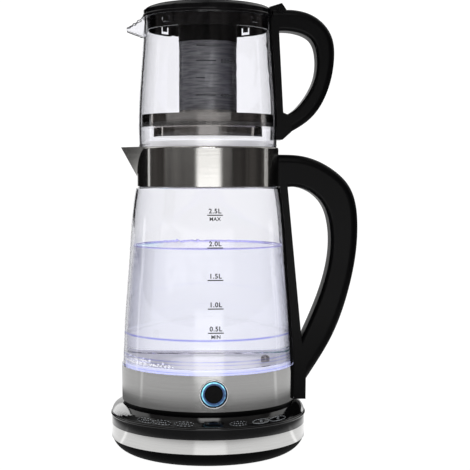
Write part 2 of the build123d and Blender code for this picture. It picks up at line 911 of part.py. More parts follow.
with BuildPart() as steel_dish:
    with BuildSketch(Plane.XZ):
        with BuildLine():
            floor_level = pot_bottom + dish_floor_height
            step_level = pot_bottom + dish_step_height
            rim_level = pot_bottom + dish_rim_height
            Polyline(
                (0, floor_level),
                (dish_lower_radius, floor_level),
                (dish_lower_radius, step_level),
                (dish_radius, step_level),
                (dish_radius, rim_level),
                (dish_radius - dish_wall, rim_level),
                (dish_radius - dish_wall, step_level + dish_wall),
                (dish_lower_radius - dish_wall, step_level + dish_wall),
                (dish_lower_radius - dish_wall, floor_level + dish_wall),
                (0, floor_level + dish_wall),
                close=True,
            )
        make_face()
    revolve(axis=Axis.Z)

dish_gasket = ring(dish_radius, dish_radius + gasket_width, pot_bottom + dish_step_height, gasket_height)

with BuildPart() as mouth_collar:
    with BuildSketch(Plane.XY.offset(pot_mouth)):
        Circle(mouth_flange_radius)
    extrude(amount=mouth_flange_height)
    fillet(mouth_collar.edges().filter_by(GeomType.CIRCLE), radius=mouth_flange_edge_radius)
    with BuildSketch(Plane.XY.offset(plate_level)):
        Circle(mouth_collar_radius - mouth_collar_wall / 2)
    extrude(amount=mouth_flange_height, mode=Mode.SUBTRACT)
    with BuildSketch(Plane.XY.offset(pot_mouth)):
        Circle(mouth_collar_radius)
        Circle(mouth_collar_radius - mouth_collar_wall, mode=Mode.SUBTRACT)
    extrude(amount=-mouth_collar_depth)
    with BuildSketch(Plane.XY.offset(plate_level)):
        Circle(infuser_radius + slip_gap)
    extrude(amount=-mouth_plate_height, mode=Mode.SUBTRACT)
    # U cuts that free the snap tongues in the wall
    tongue_level = pot_mouth - tongue_top_margin
    for angle in tongue_angles:
        side = Plane(
            origin=(0, 0, tongue_level),
            x_dir=(-sin(radians(angle)), cos(radians(angle)), 0),
            z_dir=(cos(radians(angle)), sin(radians(angle)), 0),
        )
        with BuildSketch(side):
            with Locations((0, -(tongue_height + tongue_slot) / 2)):
                Rectangle(tongue_width + 2 * tongue_slot, tongue_height + tongue_slot)
            with Locations((0, -tongue_height / 2)):
                Rectangle(tongue_width, tongue_height, mode=Mode.SUBTRACT)
        extrude(amount=mouth_flange_radius, mode=Mode.SUBTRACT)

# ================= infuser =================

band_low = plate_level - infuser_band_height + infuser_flange_height
mesh_low = band_low - infuser_mesh_height

with BuildPart() as infuser_rim:
    with BuildSketch(Plane.XY.offset(plate_level)):
        Circle(infuser_radius + infuser_flange_width)
    extrude(amount=infuser_flange_height)
    with BuildSketch(Plane.XY.offset(band_low)):
        Circle(infuser_radius)
    extrude(amount=plate_level - band_low)
    with BuildSketch(Plane.XY.offset(band_low)):
        Circle(infuser_radius - infuser_wall)
    extrude(amount=infuser_band_height, mode=Mode.SUBTRACT)

mesh_radius = infuser_radius - bed_gap
infuser_mesh = ring(mesh_radius - mesh_wall, mesh_radius, mesh_low, infuser_mesh_height)

with BuildPart() as infuser_base:
    with BuildSketch(Plane.XY.offset(mesh_low - infuser_base_height)):
        Circle(infuser_radius)
    extrude(amount=infuser_base_height)
    with BuildSketch(Plane.XY.offset(mesh_low)):
        Circle(infuser_radius - infuser_wall)
    extrude(amount=-infuser_base_recess, mode=Mode.SUBTRACT)

# ================= lid, knob and hinge =================

hinge_axis = Plane(origin=(hinge_reach, 0, hinge_height), x_dir=(1, 0, 0), z_dir=(0, -1, 0))
knob_bottom = lid_top + knob_plate_height
knob_low = knob_bottom + knob_stem_height


def hinge_cylinder(radius, half_width, start=0):
    """A round bar along the hinge axis, from start to half_width on both sides."""
    with BuildPart() as bar:
        for side in (1, -1):
            with BuildSketch(hinge_axis.offset(side * start)):
                Circle(radius)
            extrude(amount=side * (half_width - start))
    return bar


def lid_outline(drop, inset):
    """Dome of the lid from its rim to the flat under the knob."""
    return Spline(
        (lid_radius - inset, lid_rim_top - drop),
        (lid_middle_radius, lid_rim_top + lid_middle_rise - drop),
        (knob_plate_radius, lid_top - drop),
        tangents=[(-0.5, 1), (-1, 0)],
    )


with BuildPart() as teapot_lid:
    for drop, inset, mode in ((0, 0, Mode.ADD), (lid_wall, lid_wall, Mode.SUBTRACT)):
        with BuildSketch(Plane.XZ):
            with BuildLine():
                outline = lid_outline(drop, inset)
                Polyline(
                    outline @ 1,
                    (0, lid_top - drop),
                    (0, lid_bottom),
                    (lid_radius - inset, lid_bottom),
                    outline @ 0,
                )
            make_face()
        revolve(axis=Axis.Z, mode=mode)
    # rib that carries the seal
    with BuildSketch(Plane.XY.offset(lid_bottom)):
        Circle(lid_seal_radius)
        Circle(lid_seal_radius - lid_rib_width, mode=Mode.SUBTRACT)
    extrude(amount=lid_rib_height)
    # thumb tab with its knuckle
    with BuildSketch(hinge_axis):
        with BuildLine():
            Polyline(tab_root, tab_back, tab_peak, tab_heel, (hinge_ear_radius / 2, -hinge_ear_radius / 2),
                     (-hinge_ear_radius / 2, -hinge_ear_radius / 2), tab_chin, close=True)
        make_face()
        Circle(hinge_ear_radius)
    extrude(amount=tab_half_width, both=True)
    add(hinge_cylinder(hinge_pin_radius + pin_gap, tab_half_width * 2).part, mode=Mode.SUBTRACT)
    with BuildSketch(Plane.XY.offset(lid_top)):
        Circle(knob_screw_radius + bed_gap)
    extrude(amount=-lid_wall, mode=Mode.SUBTRACT)

seal_low = plate_level + slip_gap
lid_seal = ring(lid_seal_radius - lid_seal_width, lid_seal_radius, seal_low, lid_bottom - seal_low)

with BuildPart() as knob_plate:
    with BuildSketch(Plane.XY.offset(lid_top)):
        Circle(knob_plate_radius)
    extrude(amount=knob_plate_height)
    fillet(knob_plate.edges().filter_by(GeomType.CIRCLE).sort_by(Axis.Z)[-1], radius=knob_plate_round)
    with BuildSketch(Plane.XY.offset(lid_top)):
        Circle(knob_screw_radius + bed_gap)
    extrude(amount=knob_plate_height, mode=Mode.SUBTRACT)

with BuildPart() as lid_knob:
    with BuildSketch(Plane.XY.offset(knob_bottom)):
        Circle(knob_stem_radius)
    extrude(amount=knob_stem_height)
    with BuildSketch(Plane.XY.offset(knob_low)):
        Circle(knob_radius)
    extrude(amount=knob_height)
    cap_edges = lid_knob.edges().filter_by(GeomType.CIRCLE).filter_by(lambda e: e.radius > knob_stem_radius)
    fillet(cap_edges.sort_by(Axis.Z)[-1], radius=knob_top_round)
    fillet(cap_edges.sort_by(Axis.Z)[0], radius=knob_under_round)
    with BuildSketch(Plane.XY.offset(knob_bottom)):
        Circle(knob_screw_radius + bed_gap)
    extrude(amount=knob_stem_height + knob_hole_depth, mode=Mode.SUBTRACT)

with BuildPart() as knob_screw:
    with BuildSketch(Plane.XY.offset(lid_top - lid_wall)):
        Circle(knob_screw_head_radius)
    extrude(amount=-knob_screw_head_height)
    with BuildSketch(Plane.XY.offset(lid_top - lid_wall)):
        Circle(knob_screw_radius)
    extrude(amount=lid_wall + knob_plate_height + knob_stem_height + knob_screw_reach)

# ================= teapot handle =================

pot_outer_shape = [
    (0, 1),
    (0.329, 1),
    (0.648, 0.957),
    (0.95, 0.805),
    (1, 0.621),
    (0.866, 0.341),
    (0.572, 0.141),
    (0.11, 0.01),
]
pot_gap_shape = [
    (0, 1),
    (0.504, 0.983),
    (0.858, 0.896),
    (1, 0.705),
    (0.954, 0.448),
    (0.621, 0.167),
    (0.267, 0.024),
]
pot_handle_top = flange_top + pot_handle_top_rise
pot_handle_low = pot_bottom + pot_handle_foot_height
pot_handle_left = mouth_flange_radius + pot_handle_clearance
pot_gap_top = pot_handle_top - pot_handle_neck_depth
pot_gap_low = pot_bottom + pot_gap_low_height
pot_gap_left = pot_mouth_radius + pot_spine_top_depth
pot_gap_right = pot_handle_reach - pot_handle_thickness
pot_gap_low_left = pot_belly_radius + pot_spine_low_depth

pot_loop = {
    "curve": [
        (pot_handle_root_reach, pot_handle_top),
        *box_points(pot_outer_shape, pot_handle_left, pot_handle_reach, pot_handle_low, pot_handle_top),
    ],
    "foot": [],
    "back": [(pot_handle_root_reach, pot_handle_low)],
    "tangents": [(1, 0), (-1, -0.5)],
}
pot_gap = box_points(pot_gap_shape, pot_gap_left, pot_gap_right, pot_gap_low, pot_gap_top)
pot_gap.append((pot_gap_low_left, pot_gap_low))

# outside of the teapot and the room that its lid turns in
with BuildPart() as pot_core:
    with BuildSketch(Plane.XZ):
        with BuildLine():
            outline = pot_outline(bed_gap)
            Polyline(outline @ 1, (0, pot_mouth), (0, pot_bottom), outline @ 0)
        make_face()
    revolve(axis=Axis.Z)
    with BuildSketch(Plane.XY.offset(pot_mouth)):
        Circle(mouth_flange_radius + bed_gap)
    extrude(amount=mouth_flange_height)
    with BuildSketch(Plane.XY.offset(flange_top)):
        Circle(lid_radius + pot_handle_clearance)
    extrude(amount=lid_rim_height + hinge_rise * 2)

tab_swing = (tab_peak[0] ** 2 + tab_peak[1] ** 2) ** 0.5
ear_inside = tab_half_width + slip_gap
ear_outside = ear_inside + hinge_ear_thickness
hinge_slot = hinge_cylinder(tab_swing + hinge_slot_gap, ear_inside)
hinge_ears = hinge_cylinder(hinge_ear_radius, ear_outside, ear_inside)
pin_length = ear_outside + hinge_pin_overhang
pin_bore = hinge_cylinder(hinge_pin_radius + bed_gap / 2, pin_length * 2)
lid_hinge_pin = hinge_cylinder(hinge_pin_radius, pin_length)

pot_blank = loop_blank(
    pot_loop,
    pot_gap,
    pot_handle_width,
    pot_handle_edge_radius,
    pot_handle_gap_edge_radius,
)
pot_seam = loop_seam(pot_loop, pot_handle_cover_depth, pot_handle_width)
fork_reach = hinge_reach + tab_swing + hinge_slot_gap + fork_margin
pot_spine_foot = pot_bottom + pot_spine_foot_height
pot_gap_middle = (pot_gap_low + pot_gap_top) / 2
pot_spine_shape = flat_shape(
    [
        (pot_handle_root_reach - cut_margin, pot_spine_foot),
        (pot_gap_low_left + spine_lap, pot_spine_foot),
        (pot_gap_low_left + spine_lap, pot_gap_middle),
        (fork_reach, pot_gap_middle),
        (fork_reach, lid_top),
        (pot_handle_root_reach - cut_margin, lid_top),
    ],
    pot_handle_width,
)

with BuildPart() as teapot_handle_bracket:
    with BuildSketch(Plane.XZ):
        with BuildLine():
            bracket_out = pot_belly_radius + bracket_depth
            bracket_low = pot_bottom + pot_handle_foot_height - pot_bead_radius
            bracket_top = bracket_low + bracket_height
            Polyline(
                (pot_handle_root_reach, bracket_low),
                (pot_belly_radius + bracket_lug_reach, bracket_low),
                (bracket_out, bracket_low + bracket_low_slope),
                (bracket_out, bracket_top - bracket_top_slope),
                (pot_belly_radius + bracket_lug_reach, bracket_top),
                (pot_handle_root_reach, bracket_top),
                close=True,
            )
        make_face()
    extrude(amount=bracket_width / 2, both=True)
    outer_edges = teapot_handle_bracket.edges().filter_by(Axis.Y).sort_by(Axis.X)[-2:]
    fillet(outer_edges, radius=bracket_edge_radius)
    add(pot_core.part, mode=Mode.SUBTRACT)

with BuildPart() as teapot_handle_cover:
    add(pot_blank.part)
    add(pot_core.part, mode=Mode.SUBTRACT)
    add(pot_seam.part, mode=Mode.SUBTRACT)
    add(pot_spine_shape.part, mode=Mode.SUBTRACT)
    add(teapot_handle_bracket.part, mode=Mode.SUBTRACT)

with BuildPart() as teapot_handle_spine:
    add(pot_blank.part)
    add(pot_spine_shape.part, mode=Mode.INTERSECT)
    add(hinge_ears.part)
    add(pot_core.part, mode=Mode.SUBTRACT)
    add(teapot_handle_bracket.part, mode=Mode.SUBTRACT)
    add(hinge_slot.part, mode=Mode.SUBTRACT)
    add(pin_bore.part, mode=Mode.SUBTRACT)

with BuildPart() as teapot_handle_grip:
    add(pot_blank.part)
    add(pot_core.part, mode=Mode.SUBTRACT)
    add(pot_seam.part, mode=Mode.INTERSECT)
    add(pot_spine_shape.part, mode=Mode.SUBTRACT)
    add(teapot_handle_bracket.part, mode=Mode.SUBTRACT)

# ================= files =================

for piece, name in [
    (base_lower_shell, "base_lower_shell"),
    (base_foot_ring, "base_foot_ring"),
    (base_steel_band, "base_steel_band"),
    (base_top_cover, "base_top_cover"),
    (base_connector_hub, "base_connector_hub"),
    (base_contact_rings, "base_contact_rings"),
    (touch_key_pads, "touch_key_pads"),
    (control_board, "control_board"),
    (kettle_base_housing, "kettle_base_housing"),
    (kettle_connector, "kettle_connector"),
    (kettle_skirt, "kettle_skirt"),
    (kettle_light_ring, "kettle_light_ring"),
    (heating_plate, "heating_plate"),
    (lower_glass_seal, "lower_glass_seal"),
    (heating_element, "heating_element"),
    (temperature_sensor, "temperature_sensor"),
    (button_cup, "button_cup"),
    (button_light_ring, "button_light_ring"),
    (button_bezel, "button_bezel"),
    (power_button, "power_button"),
    (button_switch, "button_switch"),
    (kettle_glass, "kettle_glass"),
    (upper_glass_seal, "upper_glass_seal"),
    (steel_collar, "steel_collar"),
    (mouth_ring, "mouth_ring"),
    (kettle_handle_cover, "kettle_handle_cover"),
    (kettle_handle_grip, "kettle_handle_grip"),
    (kettle_handle_spine, "kettle_handle_spine"),
    (teapot_glass, "teapot_glass"),
    (steel_dish, "steel_dish"),
    (dish_gasket, "dish_gasket"),
    (mouth_collar, "mouth_collar"),
    (infuser_rim, "infuser_rim"),
    (infuser_mesh, "infuser_mesh"),
    (infuser_base, "infuser_base"),
    (teapot_lid, "teapot_lid"),
    (lid_seal, "lid_seal"),
    (knob_plate, "knob_plate"),
    (lid_knob, "lid_knob"),
    (knob_screw, "knob_screw"),
    (lid_hinge_pin, "lid_hinge_pin"),
    (teapot_handle_bracket, "teapot_handle_bracket"),
    (teapot_handle_cover, "teapot_handle_cover"),
    (teapot_handle_grip, "teapot_handle_grip"),
    (teapot_handle_spine, "teapot_handle_spine"),
]:
    piece.part.label = name
    export_step(piece.part, "parts/" + name + ".step")
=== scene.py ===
import math
import random

import bmesh
import bpy
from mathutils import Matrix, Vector
from mathutils.bvhtree import BVHTree


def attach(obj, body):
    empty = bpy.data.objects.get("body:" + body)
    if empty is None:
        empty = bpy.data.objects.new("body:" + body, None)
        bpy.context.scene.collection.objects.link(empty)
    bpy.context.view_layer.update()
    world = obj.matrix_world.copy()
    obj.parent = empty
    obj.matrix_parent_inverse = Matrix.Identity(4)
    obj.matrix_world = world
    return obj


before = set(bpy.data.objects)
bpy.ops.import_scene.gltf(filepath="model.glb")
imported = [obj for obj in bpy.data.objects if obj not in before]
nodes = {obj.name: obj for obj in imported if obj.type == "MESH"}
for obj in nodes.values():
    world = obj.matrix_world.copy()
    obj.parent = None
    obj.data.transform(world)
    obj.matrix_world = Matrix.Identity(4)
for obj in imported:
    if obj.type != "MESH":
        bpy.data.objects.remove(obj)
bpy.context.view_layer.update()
scene = bpy.context.scene
random.seed(7)
mm = 0.001
print("stage: frame loaded,", len(nodes), "nodes")


def linear(hexColour):
    channels = [int(hexColour[i:i + 2], 16) / 255 for i in (1, 3, 5)]
    return [c / 12.92 if c <= 0.04045 else ((c + 0.055) / 1.055) ** 2.4 for c in channels] + [1.0]


def metres(sizesMm):
    return [size * mm for size in sizesMm]


def fill(tree, node, inputs):
    # each input takes a link from another node, a hex colour, or a plain value
    for name, source in inputs.items():
        if isinstance(source, bpy.types.NodeSocket):
            tree.links.new(source, node.inputs[name])
        else:
            node.inputs[name].default_value = linear(source) if isinstance(source, str) else source


def addNode(tree, kind, inputs=None, **settings):
    node = tree.nodes.new(kind)
    for name, value in settings.items():
        setattr(node, name, value)
    fill(tree, node, inputs or {})
    return node


def newMaterial(name):
    material = bpy.data.materials.new(name)
    material.use_nodes = True
    return material, material.node_tree, material.node_tree.nodes["Principled BSDF"]


def placeOf(tree):
    return addNode(tree, "ShaderNodeTexCoord").outputs["Object"]


def axesOf(tree, place):
    return addNode(tree, "ShaderNodeSeparateXYZ", {"Vector": place}).outputs


def calculate(tree, operation, first, second=0.0):
    return addNode(tree, "ShaderNodeMath", {0: first, 1: second}, operation=operation).outputs[0]


def noise(tree, place, sizeMm, detail=2.0):
    scale = 1 / (sizeMm * mm)
    inputs = {"Vector": place, "Scale": scale, "Detail": detail}
    return addNode(tree, "ShaderNodeTexNoise", inputs).outputs["Fac"]


def blend(tree, amount, low, high):
    return addNode(tree, "ShaderNodeMix", {0: amount, 6: low, 7: high}, data_type="RGBA").outputs[2]


def bump(tree, height, strength, depthMm):
    inputs = {"Height": height, "Strength": strength, "Distance": depthMm * mm}
    return addNode(tree, "ShaderNodeBump", inputs).outputs["Normal"]


def spread(tree, source, low, high):
    # 0..1 becomes low..high, evenly
    inputs = {"Value": source, "To Min": low, "To Max": high}
    return addNode(tree, "ShaderNodeMapRange", inputs).outputs["Result"]


def ramp(tree, source, start, end, low, high):
    # low before start, high after end, a soft step between
    inputs = {"Value": source, "From Min": start, "From Max": end, "To Min": low, "To Max": high}
    return addNode(tree, "ShaderNodeMapRange", inputs, interpolation_type="SMOOTHSTEP").outputs["Result"]


def span(tree, source, start, end, soft):
    # 1 between start and end, 0 outside, with a soft edge
    offset = calculate(tree, "ABSOLUTE", calculate(tree, "SUBTRACT", source, (start + end) / 2))
    half = (end - start) / 2
    return ramp(tree, offset, half - soft / 2, half + soft / 2, 1.0, 0.0)


def turnOf(tree, axes):
    # degrees round the part, 0 at the button side, growing towards the handle
    turn = calculate(tree, "ARCTAN2", axes["X"], calculate(tree, "MULTIPLY", axes["Y"], -1.0))
    return calculate(tree, "MULTIPLY", turn, 180 / math.pi)


def reachOf(tree, across, along):
    # distance from the middle of a plane
    flat = addNode(tree, "ShaderNodeCombineXYZ", {"X": across, "Y": along}).outputs[0]
    return addNode(tree, "ShaderNodeVectorMath", {0: flat}, operation="LENGTH").outputs["Value"]


def addGlow(tree, shader, look):
    if "glow" in look:
        colour, strength = look["glow"]
        fill(tree, shader, {"Emission Color": colour, "Emission Strength": strength})


def addAbsorption(tree, look):
    volume = addNode(tree, "ShaderNodeVolumeAbsorption", {"Color": look["absorb"], "Density": look["density"]})
    fill(tree, tree.nodes["Material Output"], {"Volume": volume.outputs["Volume"]})


def dress(material, *names):
    for name in names:
        nodes[name].data.materials.clear()
        nodes[name].data.materials.append(material)


def addPiece(name, mesh, material, body):
    piece = bpy.data.objects.new(name, mesh)
    scene.collection.objects.link(piece)
    mesh.materials.append(material)
    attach(piece, body)
    return piece


def surfaceOf(name):
    mesh = nodes[name].data
    return BVHTree.FromPolygons([v.co for v in mesh.vertices], [list(p.vertices) for p in mesh.polygons])


def meshOf(shape, name):
    mesh = bpy.data.meshes.new(name)
    shape.to_mesh(mesh)
    shape.free()
    return mesh


def smooth(mesh):
    for face in mesh.polygons:
        face.use_smooth = True
    return mesh


def curveMesh(curve):
    # a curve becomes a mesh by way of a short-lived object
    holder = bpy.data.objects.new(curve.name, curve)
    scene.collection.objects.link(holder)
    bpy.context.view_layer.update()
    mesh = bpy.data.meshes.new_from_object(holder.evaluated_get(bpy.context.evaluated_depsgraph_get()))
    bpy.data.objects.remove(holder)
    return mesh


# black plastics: gloss on the lid and the base's cover, satin on the handles and the lower shell
glossAbs = {"dark": "#070708", "light": "#0c0c0e", "roughness": (0.05, 0.11), "ior": 1.5, "smearMm": 38.0,
            "peelMm": 5.0, "peel": 0.05, "peelDepthMm": 0.02}
# the cover's panel is polished flatter than the rest, between two radii and above one height
panelAbs = dict(glossAbs, leanDegrees=16.0, panelMm=(85.2, 95.2), panelEdgeMm=0.2, aboveMm=(41.4, 42.0))
satinAbs = {"dark": "#050506", "light": "#0a0a0b", "roughness": (0.32, 0.42), "ior": 1.49, "specular": 0.08,
            "cloudMm": 30.0, "grainMm": 0.9, "grain": 0.12, "grainDepthMm": 0.05}


def flattenPanel(tree, place, normal, look):
    # the panel mirrors like one flat cone, so what stands on it shows in it undistorted
    axes = axesOf(tree, place)
    lean = math.radians(look["leanDegrees"])
    flat = addNode(tree, "ShaderNodeCombineXYZ", {"X": axes["X"], "Y": axes["Y"]}).outputs[0]
    outward = addNode(tree, "ShaderNodeVectorMath", {0: flat}, operation="NORMALIZE").outputs["Vector"]
    aside = addNode(tree, "ShaderNodeVectorMath", {0: outward, "Scale": math.sin(lean)},
                    operation="SCALE").outputs["Vector"]
    cone = addNode(tree, "ShaderNodeVectorMath", {0: aside, 1: (0.0, 0.0, math.cos(lean))},
                   operation="ADD").outputs["Vector"]
    reach = reachOf(tree, axes["X"], axes["Y"])
    panel = calculate(tree, "MULTIPLY", span(tree, reach, *metres(look["panelMm"]), look["panelEdgeMm"] * mm),
                      ramp(tree, axes["Z"], *metres(look["aboveMm"]), 0.0, 1.0))
    return addNode(tree, "ShaderNodeMix", {0: panel, 4: normal, 5: cone}, data_type="VECTOR").outputs[1]


def makeGlossAbs(name, look):
    # high-gloss moulded ABS: a near-black mirror with faint orange peel and wiping smears
    material, tree, shader = newMaterial(name)
    place = placeOf(tree)
    smear = noise(tree, place, look["smearMm"], 4.0)
    normal = bump(tree, noise(tree, place, look["peelMm"], 1.0), look["peel"], look["peelDepthMm"])
    if "leanDegrees" in look:
        normal = flattenPanel(tree, place, normal, look)
    fill(tree, shader, {"Base Color": blend(tree, smear, look["dark"], look["light"]), "IOR": look["ior"],
                        "Roughness": spread(tree, smear, *look["roughness"]), "Normal": normal})
    return material


def makeSatinAbs(look):
    # satin moulded ABS: fine spark-eroded grain that breaks the highlight
    # the real grain is 0.1 mm, drawn at 0.9 mm so that it shows
    material, tree, shader = newMaterial("satinMouldedAbs")
    place = placeOf(tree)
    cloud = noise(tree, place, look["cloudMm"], 3.0)
    grain = noise(tree, place, look["grainMm"])
    fill(tree, shader, {"Base Color": blend(tree, cloud, look["dark"], look["light"]), "IOR": look["ior"],
                        "Specular IOR Level": look["specular"],
                        "Roughness": spread(tree, cloud, *look["roughness"]),
                        "Normal": bump(tree, grain, look["grain"], look["grainDepthMm"])})
    return material


dress(makeGlossAbs("glossMouldedAbs", glossAbs), "mouth_collar", "teapot_lid", "lid_knob")
dress(makeGlossAbs("polishedPanelAbs", panelAbs), "base_top_cover")
dress(makeSatinAbs(satinAbs), "base_lower_shell", "base_connector_hub", "kettle_base_housing",
      "kettle_connector", "power_button", "button_cup", "button_switch", "infuser_rim", "lid_hinge_pin",
      "kettle_handle_cover", "kettle_handle_grip", "kettle_handle_spine",
      "teapot_handle_bracket", "teapot_handle_cover", "teapot_handle_grip", "teapot_handle_spine")

# steels: the lines are 0.05 mm apart in the real finish, drawn at 0.8 to 1.6 mm so that they show
collarSteel = {"dark": "#b6b4b1", "light": "#cfcecb", "roughness": (0.14, 0.2), "anisotropic": 0.85,
               "alongMm": 45.0, "acrossMm": 0.8, "bump": 0.25}
skirtSteel = {"dark": "#b0afae", "light": "#cccccb", "roughness": (0.08, 0.12), "anisotropic": 0.7,
              "alongMm": 45.0, "acrossMm": 0.8, "bump": 0.18}
dishSteel = {"dark": "#96918b", "light": "#bdb9b3", "roughness": (0.06, 0.12), "anisotropic": 0.7,
             "alongMm": 60.0, "acrossMm": 1.5, "bump": 0.15}
# painted light: the floor of the kettle is made to glow pale, standing in for the light of the ring round it
plateSteel = {"dark": "#c9c8c7", "light": "#efeeed", "roughness": (0.42, 0.55), "anisotropic": 0.0,
              "alongMm": 1.6, "acrossMm": 1.6, "bump": 0.8, "glow": ("#d9d8e6", 0.4)}
# painted light: the ring under the teapot is made to glow white, standing in for the light that falls through
# the glass above it
ringSteel = {"dark": "#dedddc", "light": "#f2f1f0", "roughness": (0.4, 0.5), "anisotropic": 0.85,
             "alongMm": 45.0, "acrossMm": 0.8, "bump": 0.2, "glow": ("#ffffff", 0.4)}
steelLines = {"detail": 5.0, "roughness": 0.65, "depthMm": 0.01, "quarterTurn": 0.25}


def makeSteel(name, look):
    # steel with lines left round the body by the abrasive: they smear what it mirrors up and down
    material, tree, shader = newMaterial(name)
    along, across = 1 / (look["alongMm"] * mm), 1 / (look["acrossMm"] * mm)
    stretched = addNode(tree, "ShaderNodeMapping", {"Vector": placeOf(tree), "Scale": (along, along, across)})
    inputs = {"Vector": stretched.outputs["Vector"], "Scale": 1.0, "Detail": steelLines["detail"],
              "Roughness": steelLines["roughness"]}
    lines = addNode(tree, "ShaderNodeTexNoise", inputs).outputs["Fac"]
    tangent = addNode(tree, "ShaderNodeTangent", direction_type="RADIAL", axis="Z").outputs["Tangent"]
    fill(tree, shader, {"Base Color": blend(tree, lines, look["dark"], look["light"]), "Metallic": 1.0,
                        "Roughness": spread(tree, lines, *look["roughness"]), "Tangent": tangent,
                        "Anisotropic": look["anisotropic"],
                        "Anisotropic Rotation": steelLines["quarterTurn"],
                        "Normal": bump(tree, lines, look["bump"], steelLines["depthMm"])})
    addGlow(tree, shader, look)
    return material


dress(makeSteel("brushedSteel304", collarSteel), "steel_collar", "knob_plate")
dress(makeSteel("brushedSteelSkirt", skirtSteel), "kettle_skirt", "base_steel_band")
dress(makeSteel("drawnPolishedSteel", dishSteel), "steel_dish", "infuser_base", "temperature_sensor",
      "knob_screw")
dress(makeSteel("beadBlastedSteel", plateSteel), "heating_plate", "heating_element")
dress(makeSteel("satinSteelRing", ringSteel), "mouth_ring")

chrome = {"colour": "#e4e4e6", "roughness": (0.05, 0.12), "hazeMm": 3.0}
# the wave texture draws 20 rings at a scale of one
brass = {"colour": "#c9a35a", "roughness": (0.18, 0.32), "ringMm": 1.2, "ringsAtOne": 20, "distortion": 1.0}


def makeChrome(look):
    # bright plated zinc bezel: a clean mirror with a trace of polishing haze
    material, tree, shader = newMaterial("chromePlatedZinc")
    haze = noise(tree, placeOf(tree), look["hazeMm"], 3.0)
    fill(tree, shader, {"Base Color": look["colour"], "Metallic": 1.0,
                        "Roughness": spread(tree, haze, *look["roughness"])})
    return material


def makeBrass(look):
    # turned brass contacts: warm metal with fine turning rings
    material, tree, shader = newMaterial("turnedBrass")
    scale = 1 / (look["ringMm"] * mm) / look["ringsAtOne"]
    inputs = {"Vector": placeOf(tree), "Scale": scale, "Distortion": look["distortion"]}
    rings = addNode(tree, "ShaderNodeTexWave", inputs, wave_type="RINGS", rings_direction="Z").outputs["Fac"]
    fill(tree, shader, {"Base Color": look["colour"], "Metallic": 1.0,
                        "Roughness": spread(tree, rings, *look["roughness"])})
    return material


dress(makeChrome(chrome), "button_bezel")
dress(makeBrass(brass), "base_contact_rings")

# matt elastomers and the lacquered board share one way of making
rubber = {"dark": "#0b0b0b", "light": "#161615", "roughness": 0.75, "grainMm": 1.5}
silicone = {"dark": "#c3c7cb", "light": "#dfe2e5", "roughness": 0.35, "grainMm": 2.0}
litSilicone = {"dark": "#c3c8ee", "light": "#dde1fa", "roughness": 0.35, "grainMm": 2.0,
               "glow": ("#dcdff9", 0.72)}
solderMask = {"dark": "#0d3b1f", "light": "#14512b", "roughness": 0.3, "grainMm": 1.0}
skinGrain, skinDepthMm = 0.2, 0.05


def makeSoft(name, look):
    # moulded elastomer or lacquered board: matt skin with a soft grain and a little dust
    material, tree, shader = newMaterial(name)
    grain = noise(tree, placeOf(tree), look["grainMm"], 4.0)
    fill(tree, shader, {"Base Color": blend(tree, grain, look["dark"], look["light"]),
                        "Roughness": look["roughness"], "Normal": bump(tree, grain, skinGrain, skinDepthMm)})
    addGlow(tree, shader, look)
    return material


dress(makeSoft("mouldedRubber", rubber), "base_foot_ring")
dress(makeSoft("clearSilicone", silicone), "upper_glass_seal", "lid_seal", "touch_key_pads")
dress(makeSoft("siliconeLitFromBelow", litSilicone), "lower_glass_seal")
dress(makeSoft("greenSolderMask", solderMask), "control_board")

# the button's ring is lit round its middle, brightest at the upper left and along its outer edge
buttonRing = {"body": "#1c3f6d", "roughness": 0.25, "low": "#4a7cc4", "high": "#8fe6f0",
              "strength": (0.1, 1.5), "patchMm": 4.0, "contrast": (0.3, 0.7),
              "middleMm": (0.0, 70.45), "reachMm": (9.6, 10.4),
              "slope": 0.6, "slopeMm": (-10.0, 9.0), "slopeShare": 0.6}
# the ring in the kettle's foot turns to cyan towards the handle
footRing = {"body": "#1c3f6d", "roughness": 0.25, "low": "#8f97f0", "high": "#c3d6ff",
            "strength": (0.7, 0.95), "patchMm": 25.0, "contrast": (0.3, 0.7),
            "end": "#6fd6ee", "endMm": (48.0, 78.0)}


def makeLightGuide(name, look):
    # acrylic light guide: LEDs behind it make brighter and dimmer patches
    material, tree, shader = newMaterial(name)
    place = placeOf(tree)
    axes = axesOf(tree, place)
    amount = ramp(tree, noise(tree, place, look["patchMm"], 1.0), *look["contrast"], 0.0, 1.0)
    if "middleMm" in look:
        right = calculate(tree, "SUBTRACT", axes["X"], look["middleMm"][0] * mm)
        up = calculate(tree, "SUBTRACT", axes["Z"], look["middleMm"][1] * mm)
        slant = calculate(tree, "SUBTRACT", up, calculate(tree, "MULTIPLY", right, look["slope"]))
        slant = ramp(tree, slant, *metres(look["slopeMm"]), 0.0, 1.0)
        outer = ramp(tree, reachOf(tree, right, up), *metres(look["reachMm"]), 0.0, 1.0)
        both = calculate(tree, "ADD", calculate(tree, "MULTIPLY", amount, 1 - look["slopeShare"]),
                         calculate(tree, "MULTIPLY", slant, look["slopeShare"]))
        amount = calculate(tree, "MULTIPLY", both, outer)
    tone = blend(tree, amount, look["low"], look["high"])
    if "end" in look:
        near = ramp(tree, axes["X"], *metres(look["endMm"]), 0.0, 1.0)
        tone = blend(tree, near, tone, look["end"])
    fill(tree, shader, {"Base Color": look["body"], "Roughness": look["roughness"], "Emission Color": tone,
                        "Emission Strength": ramp(tree, amount, 0.0, 1.0, *look["strength"])})
    return material


dress(makeLightGuide("litAcrylic", buttonRing), "button_light_ring")
dress(makeLightGuide("litFootRing", footRing), "kettle_light_ring")
